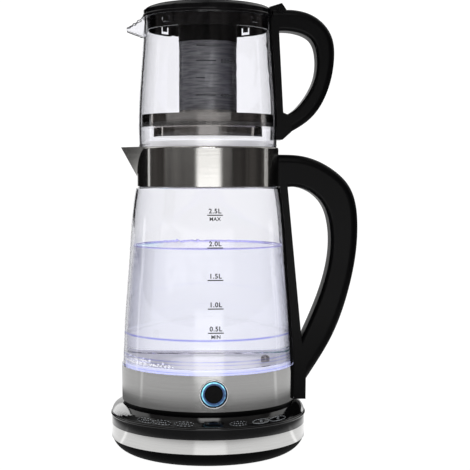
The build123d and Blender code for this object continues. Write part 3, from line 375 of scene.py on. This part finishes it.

# painted light: thin blue lines tinted into the glass on its front half stand for light from the ring in the
# foot that runs up the wall and leaves it there
# every line: height and half width in mm, strength
kettleGlass = {"tint": "#fdfdff", "ior": 1.474, "absorb": (0.5, 0.53, 0.64, 1.0), "density": 20.0,
               "waveMm": 35.0, "wave": 0.03, "waveDepthMm": 0.2,
               "leak": "#7d84f2", "leakTurns": (-88.0, 80.0), "leakSoft": 8.0,
               "leakMm": 30.0, "leakContrast": (0.3, 0.6), "leakLeast": 0.45,
               "lines": [(89.2, 0.6, 0.5), (92.8, 0.6, 0.45), (96.5, 0.8, 0.4), (99.5, 1.0, 0.5),
                         (119.4, 1.5, 0.75)]}
teapotGlass = dict(kettleGlass, absorb=(0.5, 0.5, 0.68, 1.0), density=16.0, lines=[])


def leakLines(tree, place, look):
    axes = axesOf(tree, place)
    amount = 0.0
    for middle, half, strength in look["lines"]:
        offset = calculate(tree, "ABSOLUTE", calculate(tree, "SUBTRACT", axes["Z"], middle * mm))
        amount = calculate(tree, "ADD", amount, ramp(tree, offset, 0.0, half * mm, strength, 0.0))
    front = span(tree, turnOf(tree, axes), *look["leakTurns"], look["leakSoft"])
    patchy = ramp(tree, noise(tree, place, look["leakMm"]), *look["leakContrast"], look["leakLeast"], 1.0)
    return calculate(tree, "MULTIPLY", calculate(tree, "MULTIPLY", amount, front), patchy)


def makeGlass(name, look):
    # blown borosilicate: clear face-on, grey-violet where the eye looks along the wall
    material, tree, shader = newMaterial(name)
    place = placeOf(tree)
    tint = look["tint"]
    if look["lines"]:
        tint = blend(tree, leakLines(tree, place, look), tint, look["leak"])
    waves = noise(tree, place, look["waveMm"], 1.0)
    fill(tree, shader, {"Base Color": tint, "Transmission Weight": 1.0, "Roughness": 0.0, "IOR": look["ior"],
                        "Normal": bump(tree, waves, look["wave"], look["waveDepthMm"])})
    addAbsorption(tree, look)
    return material


dress(makeGlass("blownBorosilicate", kettleGlass), "kettle_glass")
dress(makeGlass("thinBorosilicate", teapotGlass), "teapot_glass")

# wire: the share of each pitch that is steel
meshCloth = {"radiusMm": 28.4, "pitchMm": 1.1, "wire": 0.62, "dark": "#858588", "light": "#aeaeb1",
             "roughness": 0.42, "rippleMm": 1.7, "rippleAlong": 0.1, "contrast": (0.3, 0.7)}


def makeWovenMesh(look):
    # woven steel cloth: dark lattice with holes; the real pitch is 0.35 mm, drawn at 1.1 mm
    material, tree, shader = newMaterial("wovenSteelCloth")
    place = placeOf(tree)
    axes = axesOf(tree, place)
    angle = calculate(tree, "ARCTAN2", axes["Y"], axes["X"])
    pitch = look["pitchMm"] * mm
    wires = []
    for source, perUnit in ((angle, look["radiusMm"] * mm / pitch), (axes["Z"], 1 / pitch)):
        part = calculate(tree, "FLOORED_MODULO", calculate(tree, "MULTIPLY", source, perUnit), 1.0)
        wires.append(calculate(tree, "LESS_THAN", part, look["wire"]))
    along = look["rippleAlong"]
    ripple = addNode(tree, "ShaderNodeMapping", {"Vector": place, "Scale": (along, along, 1.0)})
    tone = ramp(tree, noise(tree, ripple.outputs["Vector"], look["rippleMm"]), *look["contrast"], 0.0, 1.0)
    fill(tree, shader, {"Base Color": blend(tree, tone, look["dark"], look["light"]), "Metallic": 1.0,
                        "Roughness": look["roughness"], "Alpha": calculate(tree, "MAXIMUM", *wires)})
    return material


dress(makeWovenMesh(meshCloth), "infuser_mesh")

gasket = {"colour": "#c9c9c6", "alpha": 0.12, "roughness": 0.3, "ior": 1.41, "hazeMm": 4.0, "haze": 0.05,
          "hazeDepthMm": 0.05}


def makeClearSilicone(look):
    # clear platinum-cured silicone: milky at its edges, the steel shows through it
    material, tree, shader = newMaterial("clearCuredSilicone")
    haze = noise(tree, placeOf(tree), look["hazeMm"])
    fill(tree, shader, {"Base Color": look["colour"], "Alpha": look["alpha"], "Roughness": look["roughness"],
                        "IOR": look["ior"], "Normal": bump(tree, haze, look["haze"], look["hazeDepthMm"])})
    return material


dress(makeClearSilicone(gasket), "dish_gasket")
print("stage: materials on every node")

# the water fills the kettle from the plate to a meniscus at the wall
# its bottom is sunk a little into the plate, because a film of air there would mirror
# every step of the curl: how far in from the wall, and the share of the rise that is left there
water = {"topMm": 203.0, "bottomMm": 91.05, "wallGapMm": 0.35, "wallSteps": 44, "sides": 128, "probes": 24,
         "plateMm": 78.6, "plateSteps": 40, "sunkMm": 0.15, "meniscusMm": 1.6, "curlGapMm": 0.05,
         "curlMm": [(0.0, 1.0), (0.3, 0.55), (0.8, 0.25), (1.8, 0.06), (3.0, 0.0)], "skinMm": 0.01,
         "colour": "#f8f9ff", "ior": 1.333, "absorb": (0.86, 0.88, 0.94, 1.0), "density": 0.35,
         "rippleMm": 22.0, "ripple": 0.04, "rippleDepthMm": 0.3}
# painted light: the surface is tinted and made to glow violet, deeper in its raised edge, and towards the spout
# it goes over to a pale cyan
waterSkin = {"colour": "#c6c3dc", "rim": "#a8a4e2", "rimMm": 4.5, "patch": "#a5e0f6",
             "patchMm": (-60.0, -36.0), "ior": 1.333, "glow": 0.22,
             "rippleMm": 18.0, "ripple": 0.02, "rippleDepthMm": 0.3}
waterLow, waterHigh = metres((water["bottomMm"], water["topMm"]))
glassSurface = surfaceOf("kettle_glass")
plateSurface = surfaceOf("heating_plate")


def makeWater(look):
    # clean water: clear with a cold blue tint through its depth
    material, tree, shader = newMaterial("cleanWater")
    ripples = noise(tree, placeOf(tree), look["rippleMm"], 1.0)
    fill(tree, shader, {"Base Color": look["colour"], "Transmission Weight": 1.0, "Roughness": 0.0,
                        "IOR": look["ior"],
                        "Normal": bump(tree, ripples, look["ripple"], look["rippleDepthMm"])})
    addAbsorption(tree, look)
    return material


def makeWaterSkin(look, edgeMm):
    # the surface of the water, with a painted reflection: it is tinted and made to glow with the violet of the
    # lit wall, deeper in its raised edge
    material, tree, shader = newMaterial("waterSurface")
    place = placeOf(tree)
    axes = axesOf(tree, place)
    reach = reachOf(tree, axes["X"], axes["Y"])
    edge = ramp(tree, reach, *metres((edgeMm - look["rimMm"], edgeMm)), 0.0, 1.0)
    side = ramp(tree, axes["X"], *metres(look["patchMm"]), 1.0, 0.0)
    tone = blend(tree, edge, blend(tree, side, look["colour"], look["patch"]), look["rim"])
    ripples = noise(tree, place, look["rippleMm"], 1.0)
    fill(tree, shader, {"Base Color": tone, "Emission Color": tone, "Emission Strength": look["glow"],
                        "Transmission Weight": 1.0, "Roughness": 0.0, "IOR": look["ior"],
                        "Normal": bump(tree, ripples, look["ripple"], look["rippleDepthMm"])})
    return material


def innerRadius(height):
    # the glass is a mesh of flat faces, so the nearest of several hits, one radian apart, counts
    hits = []
    for turn in range(water["probes"]):
        direction = Vector((math.cos(turn), math.sin(turn), 0))
        spot = glassSurface.ray_cast(Vector((0, 0, height)), direction)[0]
        if spot:
            hits.append(spot.xy.length)
    return min(hits)


def plateHeight(radius):
    # top of the hot plate at this distance from the axis
    spot = plateSurface.ray_cast(Vector((0, -radius, waterHigh)), Vector((0, 0, -1)))[0]
    return spot.z if spot else waterLow


def revolve(name, profile, sides):
    shape = bmesh.new()
    turns = [2 * math.pi * k / sides for k in range(sides)]
    rings = []
    for radius, height in profile:
        if radius == 0:
            rings.append([shape.verts.new((0, 0, height))])
        else:
            rings.append([shape.verts.new((radius * math.cos(t), radius * math.sin(t), height)) for t in turns])
    for low, high in zip(rings, rings[1:]):
        for k in range(sides):
            after = (k + 1) % sides
            if len(low) == 1:
                shape.faces.new((low[0], high[after], high[k]))
            elif len(high) == 1:
                shape.faces.new((low[k], low[after], high[0]))
            else:
                shape.faces.new((low[k], low[after], high[after], high[k]))
    bmesh.ops.recalc_face_normals(shape, faces=shape.faces)
    return smooth(meshOf(shape, name))


def drawWater(look, skin):
    # from the middle of the plate to the wall, up the wall, and over the meniscus back to the middle
    profile = []
    for step in range(look["plateSteps"] + 1):
        radius = look["plateMm"] * mm * step / look["plateSteps"]
        profile.append((radius, plateHeight(radius) - look["sunkMm"] * mm))
    for step in range(look["wallSteps"] + 1):
        height = waterLow + (waterHigh - waterLow) * step / look["wallSteps"]
        profile.append((innerRadius(height) - look["wallGapMm"] * mm, height))
    edge = profile[-1][0]
    for inward, share in look["curlMm"]:
        profile.append((edge - (inward + look["curlGapMm"]) * mm, waterHigh + look["meniscusMm"] * share * mm))
    profile.append((0, waterHigh))
    mesh = revolve("water", profile, look["sides"])
    piece = addPiece("water", mesh, makeWater(look), "kettle")
    piece.data.materials.append(makeWaterSkin(skin, edge / mm))
    for face in piece.data.polygons:
        if face.center.z > waterHigh - look["skinMm"] * mm:
            face.material_index = 1


drawWater(water, waterSkin)
print("stage: water")

# prints: the letters' capitals are 0.7 of their size, and each line is a little bolder than the font's own
darkCeramic = {"colour": "#1d1f22", "roughness": 0.6, "mottleMm": 0.8, "fade": (1.5, 0.02)}
paleScreen = {"colour": "#8d9196", "roughness": 0.5, "mottleMm": 0.8, "fade": (1.5, 0.02)}
prints = {"capShare": 0.7, "boldShare": 0.038, "spacing": 1.12, "longMm": 3.0, "cuts": 8, "liftMm": 0.05,
          "outsideMm": 300.0, "aboveMm": 20.0}


def makeInk(name, look):
    # screen-printed ceramic ink: matt, with a fine mottle where the screen left less
    material, tree, shader = newMaterial(name)
    gain, lift = look["fade"]
    faded = [c * gain + lift for c in linear(look["colour"])[:3]] + [1.0]
    mottle = noise(tree, placeOf(tree), look["mottleMm"])
    fill(tree, shader, {"Base Color": blend(tree, mottle, look["colour"], faded),
                        "Roughness": look["roughness"]})
    return material


def addText(shape, words, capMm, x, z):
    # flat letters, centred on x, with capitals of the given height standing on z
    curve = bpy.data.curves.new("letters", "FONT")
    curve.body = words
    curve.align_x = "CENTER"
    curve.align_y = "BOTTOM_BASELINE"
    curve.size = capMm * mm / prints["capShare"]
    curve.offset = prints["boldShare"] * capMm * mm
    curve.space_character = prints["spacing"]
    mesh = curveMesh(curve)
    before = set(shape.verts)
    shape.from_mesh(mesh)
    for vertex in set(shape.verts) - before:
        vertex.co.x += x * mm
        vertex.co.y += z * mm
    bpy.data.meshes.remove(mesh)


def addBar(shape, left, right, bottom, top):
    # a long bar is cut across, so that it can bend round the glass
    corners = [(left, bottom), (right, bottom), (right, top), (left, top)]
    face = shape.faces.new([shape.verts.new((x * mm, z * mm, 0)) for x, z in corners])
    longEdges = [e for e in face.edges if e.calc_length() > prints["longMm"] * mm]
    bmesh.ops.subdivide_edges(shape, edges=longEdges, cuts=prints["cuts"])


def addArc(shape, across, tall, width, start, end, steps):
    # a piece of an oval line, in degrees
    rims = []
    for k in range(steps + 1):
        angle = math.radians(start + (end - start) * k / steps)
        right, up = math.cos(angle) * mm, math.sin(angle) * mm
        rims.append([shape.verts.new(((across + d) * right, (tall + d) * up, 0))
                     for d in (-width / 2, width / 2)])
    for first, second in zip(rims, rims[1:]):
        shape.faces.new((first[0], first[1], second[1], second[0]))


def printOn(surface, shape, name, turnDegrees, heightMm, material, body):
    # lays a flat drawing on a surface: the drawing's middle goes to this turn from the front and this height
    turn = math.radians(turnDegrees)
    outward = Vector((math.sin(turn), -math.cos(turn), 0))
    outside = Vector((0, 0, heightMm * mm)) + outward * prints["outsideMm"] * mm
    spot, normal = surface.ray_cast(outside, -outward)[:2]
    across = Vector((math.cos(turn), math.sin(turn), 0))
    normal = (normal - across * normal.dot(across)).normalized()
    up = normal.cross(across)
    for vertex in shape.verts:
        start = spot + across * vertex.co.x + up * vertex.co.y + normal * prints["aboveMm"] * mm
        vertex.co = surface.ray_cast(start, -normal)[0] + normal * prints["liftMm"] * mm
    return addPiece(name, meshOf(shape, name), material, body)


# level scale of the kettle: height, litres above the line, and what the ends mean below it
kettleScale = {"turn": 1.5, "lineMm": 14.6, "thickMm": 1.0, "capMm": 4.3, "smallCapMm": 3.2, "litresGapMm": 0.8,
               "noteGapMm": 0.9,
               "levels": [(235.2, "2.5L", "MAX"), (205.0, "2.0L", ""), (175.2, "1.5L", ""), (148.9, "1.0L", ""),
                          (126.7, "0.5L", "MIN")]}
# level scale of the teapot: height, a long line or a short one, and the words beside it
potScale = {"turn": -13.0, "thickMm": 0.85, "longMm": 18.2, "shortMm": 8.4, "capMm": 3.2, "wordsMm": 10.5,
            "levels": [(392.4, False, ""), (378.2, True, "800ml"), (362.3, False, ""), (346.3, True, "400ml")]}
darkInk = makeInk("darkCeramicInk", darkCeramic)
paleInk = makeInk("paleScreenInk", paleScreen)


def drawKettleScale(look):
    for number, (height, litres, note) in enumerate(look["levels"]):
        shape = bmesh.new()
        half, thick = look["lineMm"] / 2, look["thickMm"]
        addBar(shape, -half, half, -thick / 2, thick / 2)
        addText(shape, litres, look["capMm"], 0, thick + look["litresGapMm"])
        if note:
            addText(shape, note, look["smallCapMm"], 0, -thick - look["noteGapMm"] - look["smallCapMm"])
        printOn(glassSurface, shape, "kettleMark%d" % number, look["turn"], height, darkInk,
                "kettle")


def drawPotScale(look):
    surface = surfaceOf("teapot_glass")
    for number, (height, isLong, words) in enumerate(look["levels"]):
        shape = bmesh.new()
        length = look["longMm"] if isLong else look["shortMm"]
        addBar(shape, 0, length, -look["thickMm"] / 2, look["thickMm"] / 2)
        if words:
            addText(shape, words, look["capMm"], length + look["wordsMm"], -look["capMm"] / 2)
        printOn(surface, shape, "potMark%d" % number, look["turn"], height, darkInk,
                "teapot")


drawKettleScale(kettleScale)
drawPotScale(potScale)

# bead along the beak's edges, between two places across the teapot and above one height
beak = {"fromMm": -78.8, "toMm": -63.6, "beyondMm": 4.0, "aboveMm": 395.0, "steps": 14, "reachMm": 1.6,
        "keelMm": 1.2, "outward": 0.4, "tubeMm": 0.45, "dark": "#26272b", "light": "#5b5d64", "shadeMottleMm": 4.0,
        "contrast": (0.35, 0.65), "roughness": 0.08, "ior": 1.474}


def makeBeadGlass(look):
    # fire-polished bead of the pouring lip, drawn opaque: its painted dark grey stands for the thin dark line
    # that the glass bends the room into
    material, tree, shader = newMaterial("firePolishedBead")
    shadeMottle = ramp(tree, noise(tree, placeOf(tree), look["shadeMottleMm"]), *look["contrast"], 0.0, 1.0)
    fill(tree, shader, {"Base Color": blend(tree, shadeMottle, look["dark"], look["light"]),
                        "Roughness": look["roughness"], "IOR": look["ior"]})
    return material


def drawBeakBead(look):
    # thin beads along both upper edges of the beak and down its keel, read off the glass itself
    spots = [v.co for v in nodes["teapot_glass"].data.vertices
             if v.co.x < (look["toMm"] + look["beyondMm"]) * mm and v.co.z > look["aboveMm"] * mm]
    curve = bpy.data.curves.new("beakBead", "CURVE")
    curve.dimensions = "3D"
    curve.bevel_depth = look["tubeMm"] * mm
    for side in (-1, 1, 0):
        line = curve.splines.new("POLY")
        line.points.add(look["steps"])
        for step in range(look["steps"] + 1):
            x = (look["fromMm"] + (look["toMm"] - look["fromMm"]) * step / look["steps"]) * mm
            near = [p for p in spots if abs(p.x - x) < look["reachMm"] * mm]
            if side:
                edge = [p for p in near if p.y * side > 0]
                spot = max(edge, key=lambda p: p.z + look["outward"] * p.y * side)
                line.points[step].co = (x, spot.y, spot.z, 1.0)
            else:
                spot = min((p for p in near if abs(p.y) < look["keelMm"] * mm), key=lambda p: p.z)
                line.points[step].co = (x, 0, spot.z, 1.0)
    mesh = smooth(curveMesh(curve))
    mesh.materials.clear()
    addPiece("beakBead", mesh, makeBeadGlass(look), "teapot")


drawBeakBead(beak)

# touch keys on the shoulder of the base: oval outlines, two whole with a small ring in them,
# four dashed with a row of dots
keyIcons = {"turns": [-42.3, -30.6, -17.1, 13.8, 28.0, 40.6], "heightMm": 44.4, "lineMm": 0.42, "tallMm": 1.9,
            "acrossMm": [9.6, 9.8, 9.6, 8.4, 9.0, 11.0], "whole": [4, 5], "wholeSteps": 48,
            "ringMm": (1.2, 0.7), "ringSteps": 20,
            "dashes": 14, "dashStart": 20.0, "dashSpan": 320.0, "dashTurn": 12.0, "dashSteps": 3,
            "dots": (-2, -1, 0, 1, 2), "dotPitchMm": 2.0, "dotHalfMm": (0.35, 0.45)}


def drawKeys(look):
    surface = surfaceOf("base_top_cover")
    for number, (turn, across) in enumerate(zip(look["turns"], look["acrossMm"])):
        shape = bmesh.new()
        if number in look["whole"]:
            addArc(shape, across, look["tallMm"], look["lineMm"], 0, 360, look["wholeSteps"])
            addArc(shape, *look["ringMm"], look["lineMm"], 0, 360, look["ringSteps"])
        else:
            for k in range(look["dashes"]):
                start = look["dashStart"] + look["dashSpan"] * k / look["dashes"]
                addArc(shape, across, look["tallMm"], look["lineMm"], start, start + look["dashTurn"],
                       look["dashSteps"])
            wide, high = look["dotHalfMm"]
            for k in look["dots"]:
                middle = look["dotPitchMm"] * k
                addBar(shape, middle - wide, middle + wide, -high, high)
        printOn(surface, shape, "touchIcon%d" % number, turn, look["heightMm"], paleInk,
                "power_base")


drawKeys(keyIcons)

# air bubbles over the hot plate, most of them near the spout side
bubbles = {"count": 170, "reachMm": (46, 76), "turns": (-118, -40), "radiusMm": (0.45, 1.2),
           "riseMm": (0.15, 5.0), "ior": 0.75, "glow": ("#ffffff", 0.25),
           "filmMm": 1.5, "film": 0.05, "filmDepthMm": 0.02}


def makeAir(look):
    # air in water: thin bright rims, a dark middle ring, and a faint painted glow all over
    material, tree, shader = newMaterial("airBubble")
    film = noise(tree, placeOf(tree), look["filmMm"])
    fill(tree, shader, {"Transmission Weight": 1.0, "Roughness": 0.0, "IOR": look["ior"],
                        "Normal": bump(tree, film, look["film"], look["filmDepthMm"])})
    addGlow(tree, shader, look)
    return material


def drawBubbles(look):
    shape = bmesh.new()
    for _ in range(look["count"]):
        turn = math.radians(random.uniform(*look["turns"]))
        reach = random.uniform(*look["reachMm"]) * mm
        radius = random.uniform(*look["radiusMm"]) * mm
        height = plateHeight(reach) + radius + random.uniform(*look["riseMm"]) * mm * random.random()
        place = (reach * math.sin(turn), -reach * math.cos(turn), height)
        made = bmesh.ops.create_icosphere(shape, subdivisions=2, radius=radius)
        bmesh.ops.translate(shape, verts=made["verts"], vec=place)
    addPiece("bubbles", smooth(meshOf(shape, "bubbles")), makeAir(look), "kettle")


drawBubbles(bubbles)
print("stage: marks, keys and bubbles")

# camera at the height of the collar, a little to the spout's side
camera = {"distanceMm": 1182.0, "heightMm": 272.3, "azimuth": -3.5, "pitch": -2.86, "yaw": 1.29,
          "focalPixels": 1200.0, "framePixels": 470.0, "sensorMm": 36.0}


def placeCamera(look):
    eye = bpy.data.cameras.new("eye")
    eye.sensor_width = look["sensorMm"]
    eye.lens = look["sensorMm"] * look["focalPixels"] / look["framePixels"]
    piece = bpy.data.objects.new("eye", eye)
    scene.collection.objects.link(piece)
    azimuth = math.radians(look["azimuth"])
    distance = look["distanceMm"] * mm
    piece.location = (distance * math.sin(azimuth), -distance * math.cos(azimuth), look["heightMm"] * mm)
    piece.rotation_euler = (math.radians(90 + look["pitch"]), 0, azimuth - math.radians(look["yaw"]))
    scene.camera = piece


placeCamera(camera)

# three rounds lie under the part: one for the eye, one for what glass and water show, one for what is mirrored
eyeFloor = {"colour": "#5a5a5c", "glow": ("#ffffff", 1.0), "roughness": 0.9, "radius": 30.0, "sides": 64}
glassFloor = {"white": "#ffffff", "side": "#bdbdcd", "glow": 1.05, "radius": 30.0, "sides": 64,
              "straight": (165.0, 125.0), "front": (20.0, 60.0), "leftShare": 0.45}
# the patches give from and to in degrees, extra light and soft edge
mirroredTable = {"colour": "#606060", "roughness": 0.9, "radius": 0.62, "sides": 64,
                 "near": 0.04, "shadeEndMm": (108, 150), "glow": 1.03, "fadeMm": (205, 238), "dark": 0.05,
                 "returnMm": (345, 410), "far": 0.6,
                 "patches": [(-15.5, 12.0, 0.32, 4.0), (-95.5, -91.5, 0.5, 2.5), (86.0, 91.0, 0.5, 3.0)]}


def addRound(name, look, material):
    shape = bmesh.new()
    bmesh.ops.create_circle(shape, cap_ends=True, segments=look["sides"], radius=look["radius"])
    mesh = meshOf(shape, name)
    mesh.materials.append(material)
    piece = bpy.data.objects.new(name, mesh)
    scene.collection.objects.link(piece)
    return piece


def makeEyeFloor(look):
    # opal panel lit from below: even white with almost no shadow on it
    material, tree, shader = newMaterial("litOpalPanel")
    fill(tree, shader, {"Base Color": look["colour"], "Roughness": look["roughness"],
                        "Specular IOR Level": 0.0})
    addGlow(tree, shader, look)
    return material


def makeGlassFloor(look):
    # the same panel as glass and water show it: white straight behind, painted violet-grey shade where they
    # bend the view aside
    material, tree, shader = newMaterial("litOpalPanelThroughGlass")
    degrees = turnOf(tree, axesOf(tree, placeOf(tree)))
    amount = 0.0
    for sign, share in ((1.0, 1.0), (-1.0, look["leftShare"])):
        turn = calculate(tree, "MULTIPLY", degrees, sign)
        side = calculate(tree, "MULTIPLY", ramp(tree, turn, *look["straight"], 0.0, share),
                         ramp(tree, turn, *look["front"], 0.0, 1.0))
        amount = calculate(tree, "ADD", amount, side)
    fill(tree, shader, {"Base Color": "#000000", "Specular IOR Level": 0.0, "Emission Strength": look["glow"],
                        "Emission Color": blend(tree, amount, look["white"], look["side"])})
    return material


def makeMirroredTable(look):
    # what metal and gloss mirror low down: shaded under the base, bright round it, a dark ring, dimmer far away
    material, tree, shader = newMaterial("mirroredPanel")
    axes = axesOf(tree, placeOf(tree))
    reach, degrees = reachOf(tree, axes["X"], axes["Y"]), turnOf(tree, axes)
    rise = ramp(tree, reach, *metres(look["shadeEndMm"]), look["near"], 1.0)
    fall = ramp(tree, reach, *metres(look["fadeMm"]), look["glow"], look["dark"])
    back = ramp(tree, reach, *metres(look["returnMm"]), 0.0, look["far"] - look["dark"])
    gain = 1.0
    for start, end, extra, soft in look["patches"]:
        patch = calculate(tree, "MULTIPLY", span(tree, degrees, start, end, soft), extra)
        gain = calculate(tree, "ADD", gain, patch)
    power = calculate(tree, "MULTIPLY", rise, calculate(tree, "ADD", fall, back))
    fill(tree, shader, {"Base Color": look["colour"], "Roughness": look["roughness"],
                        "Specular IOR Level": 0.0, "Emission Color": "#ffffff",
                        "Emission Strength": calculate(tree, "MULTIPLY", power, gain)})
    return material


eyeRound = addRound("paleFloor", eyeFloor, makeEyeFloor(eyeFloor))
eyeRound.visible_glossy = eyeRound.visible_transmission = False
glassRound = addRound("floorThroughGlass", glassFloor, makeGlassFloor(glassFloor))
glassRound.visible_camera = glassRound.visible_glossy = False
glassRound.visible_diffuse = glassRound.visible_shadow = False
table = addRound("mirroredTable", mirroredTable, makeMirroredTable(mirroredTable))
table.visible_camera = table.visible_transmission = False
table.visible_diffuse = table.visible_shadow = False

# pale surround for the eye; a dark room with soft boxes and a white ceiling for what mirrors it
# every box: from and to in degrees round the part, from and to in degrees above the horizon, power, soft edge
studio = {"pale": "#ffffff", "palePower": 1.08, "roomDark": "#2e2c2b", "roomLight": "#585553", "roomPower": 1.0,
          "streakDegrees": 16.0, "streaks": (0.3, 0.75), "boxSoft": 1.6,
          "boxes": [(-21.5, 17.0, -2.5, 1.7, 1.3, 8.0),
                    (-21.5, 17.0, -28.0, -3.0, 4.4, 8.0),
                    (-18.0, 14.0, 30.0, 58.0, 3.2, 6.0),
                    (-77.0, 35.0, 3.6, 6.3, 0.75, 4.0),
                    (-116.0, -111.5, -8.0, 4.0, 1.5, 1.5),
                    (101.0, 103.2, -8.0, 4.0, 1.5, 1.0),
                    (106.3, 108.3, -8.0, 4.0, 1.5, 1.0),
                    (-180.0, -164.0, 13.0, 30.0, 1.5, 2.0),
                    (164.0, 180.0, 13.0, 30.0, 1.5, 2.0)],
          "backdropTurns": (163.0, 165.0), "backdropTop": (31.0, 29.0),
          "blackTurns": (110.0, 113.0), "blackPower": 0.1,
          "skyTurns": (100.0, 150.0), "skySoft": 8.0, "skyLow": (10.0, 16.0), "skyPower": 0.95,
          "ceilingFrom": (26.0, 44.0), "ceilingPower": 0.2}
keyLight = {"power": 1.5, "sizeMm": 900.0, "placeMm": (-700.0, -500.0, 1500.0), "aimMm": (0.0, 0.0, 200.0)}


def boxLight(tree, degrees, aside, above, look):
    light = calculate(tree, "MULTIPLY", ramp(tree, aside, *look["backdropTurns"], 0.0, 1.0),
                      ramp(tree, above, *look["backdropTop"], 0.0, 1.0))
    for start, end, low, high, power, soft in look["boxes"]:
        patch = calculate(tree, "MULTIPLY", span(tree, degrees, start, end, min(soft, end - start)),
                          span(tree, above, low, high, look["boxSoft"]))
        light = calculate(tree, "ADD", light, calculate(tree, "MULTIPLY", patch, power))
    sky = calculate(tree, "MULTIPLY", span(tree, aside, *look["skyTurns"], look["skySoft"]),
                    ramp(tree, above, *look["skyLow"], 0.0, look["skyPower"]))
    ceiling = ramp(tree, above, *look["ceilingFrom"], 0.0, look["ceilingPower"])
    return calculate(tree, "MAXIMUM", light, calculate(tree, "MAXIMUM", sky, ceiling))


def buildStudio(look):
    world = bpy.data.worlds.new("studio")
    scene.world = world
    world.use_nodes = True
    tree = world.node_tree
    tree.nodes.clear()

    axes = axesOf(tree, addNode(tree, "ShaderNodeTexCoord").outputs["Generated"])
    degrees = turnOf(tree, axes)
    aside = calculate(tree, "ABSOLUTE", degrees)
    above = calculate(tree, "MULTIPLY", calculate(tree, "ARCSINE", axes["Z"]), 180 / math.pi)
    light = boxLight(tree, degrees, aside, above, look)
    boxes = addNode(tree, "ShaderNodeBackground", {"Color": "#ffffff", "Strength": light})

    inputs = {"W": degrees, "Scale": 1 / look["streakDegrees"], "Detail": 2.0}
    streaks = addNode(tree, "ShaderNodeTexNoise", inputs, noise_dimensions="1D").outputs["Fac"]
    tone = blend(tree, ramp(tree, streaks, *look["streaks"], 0.0, 1.0), look["roomDark"], look["roomLight"])
    dim = ramp(tree, aside, *look["blackTurns"], look["roomPower"], look["blackPower"])
    room = addNode(tree, "ShaderNodeBackground", {"Color": tone, "Strength": dim})
    mirrored = addNode(tree, "ShaderNodeAddShader", {0: boxes.outputs[0], 1: room.outputs[0]})
    pale = addNode(tree, "ShaderNodeBackground", {"Color": look["pale"], "Strength": look["palePower"]})

    # only rays that come straight from the eye, or straight through glass, meet the pale surround
    path = addNode(tree, "ShaderNodeLightPath").outputs
    bounces = calculate(tree, "ADD", path["Glossy Depth"], path["Diffuse Depth"])
    unbounced = calculate(tree, "LESS_THAN", bounces, 0.5)
    through = calculate(tree, "MULTIPLY", path["Is Transmission Ray"], unbounced)
    straight = calculate(tree, "MAXIMUM", path["Is Camera Ray"], through)
    mix = addNode(tree, "ShaderNodeMixShader", {0: straight, 1: mirrored.outputs[0], 2: pale.outputs[0]})
    addNode(tree, "ShaderNodeOutputWorld", {"Surface": mix.outputs[0]})


def hangKeyLight(look):
    light = bpy.data.lights.new("overheadSoftBox", "AREA")
    light.energy = look["power"]
    light.size = look["sizeMm"] * mm
    piece = bpy.data.objects.new("overheadSoftBox", light)
    scene.collection.objects.link(piece)
    piece.location = Vector(look["placeMm"]) * mm
    piece.rotation_euler = (Vector(look["aimMm"]) * mm - piece.location).to_track_quat("-Z", "Y").to_euler()


buildStudio(studio)
hangKeyLight(keyLight)
scene.view_settings.view_transform = "Standard"
print("stage: camera, floor and studio")
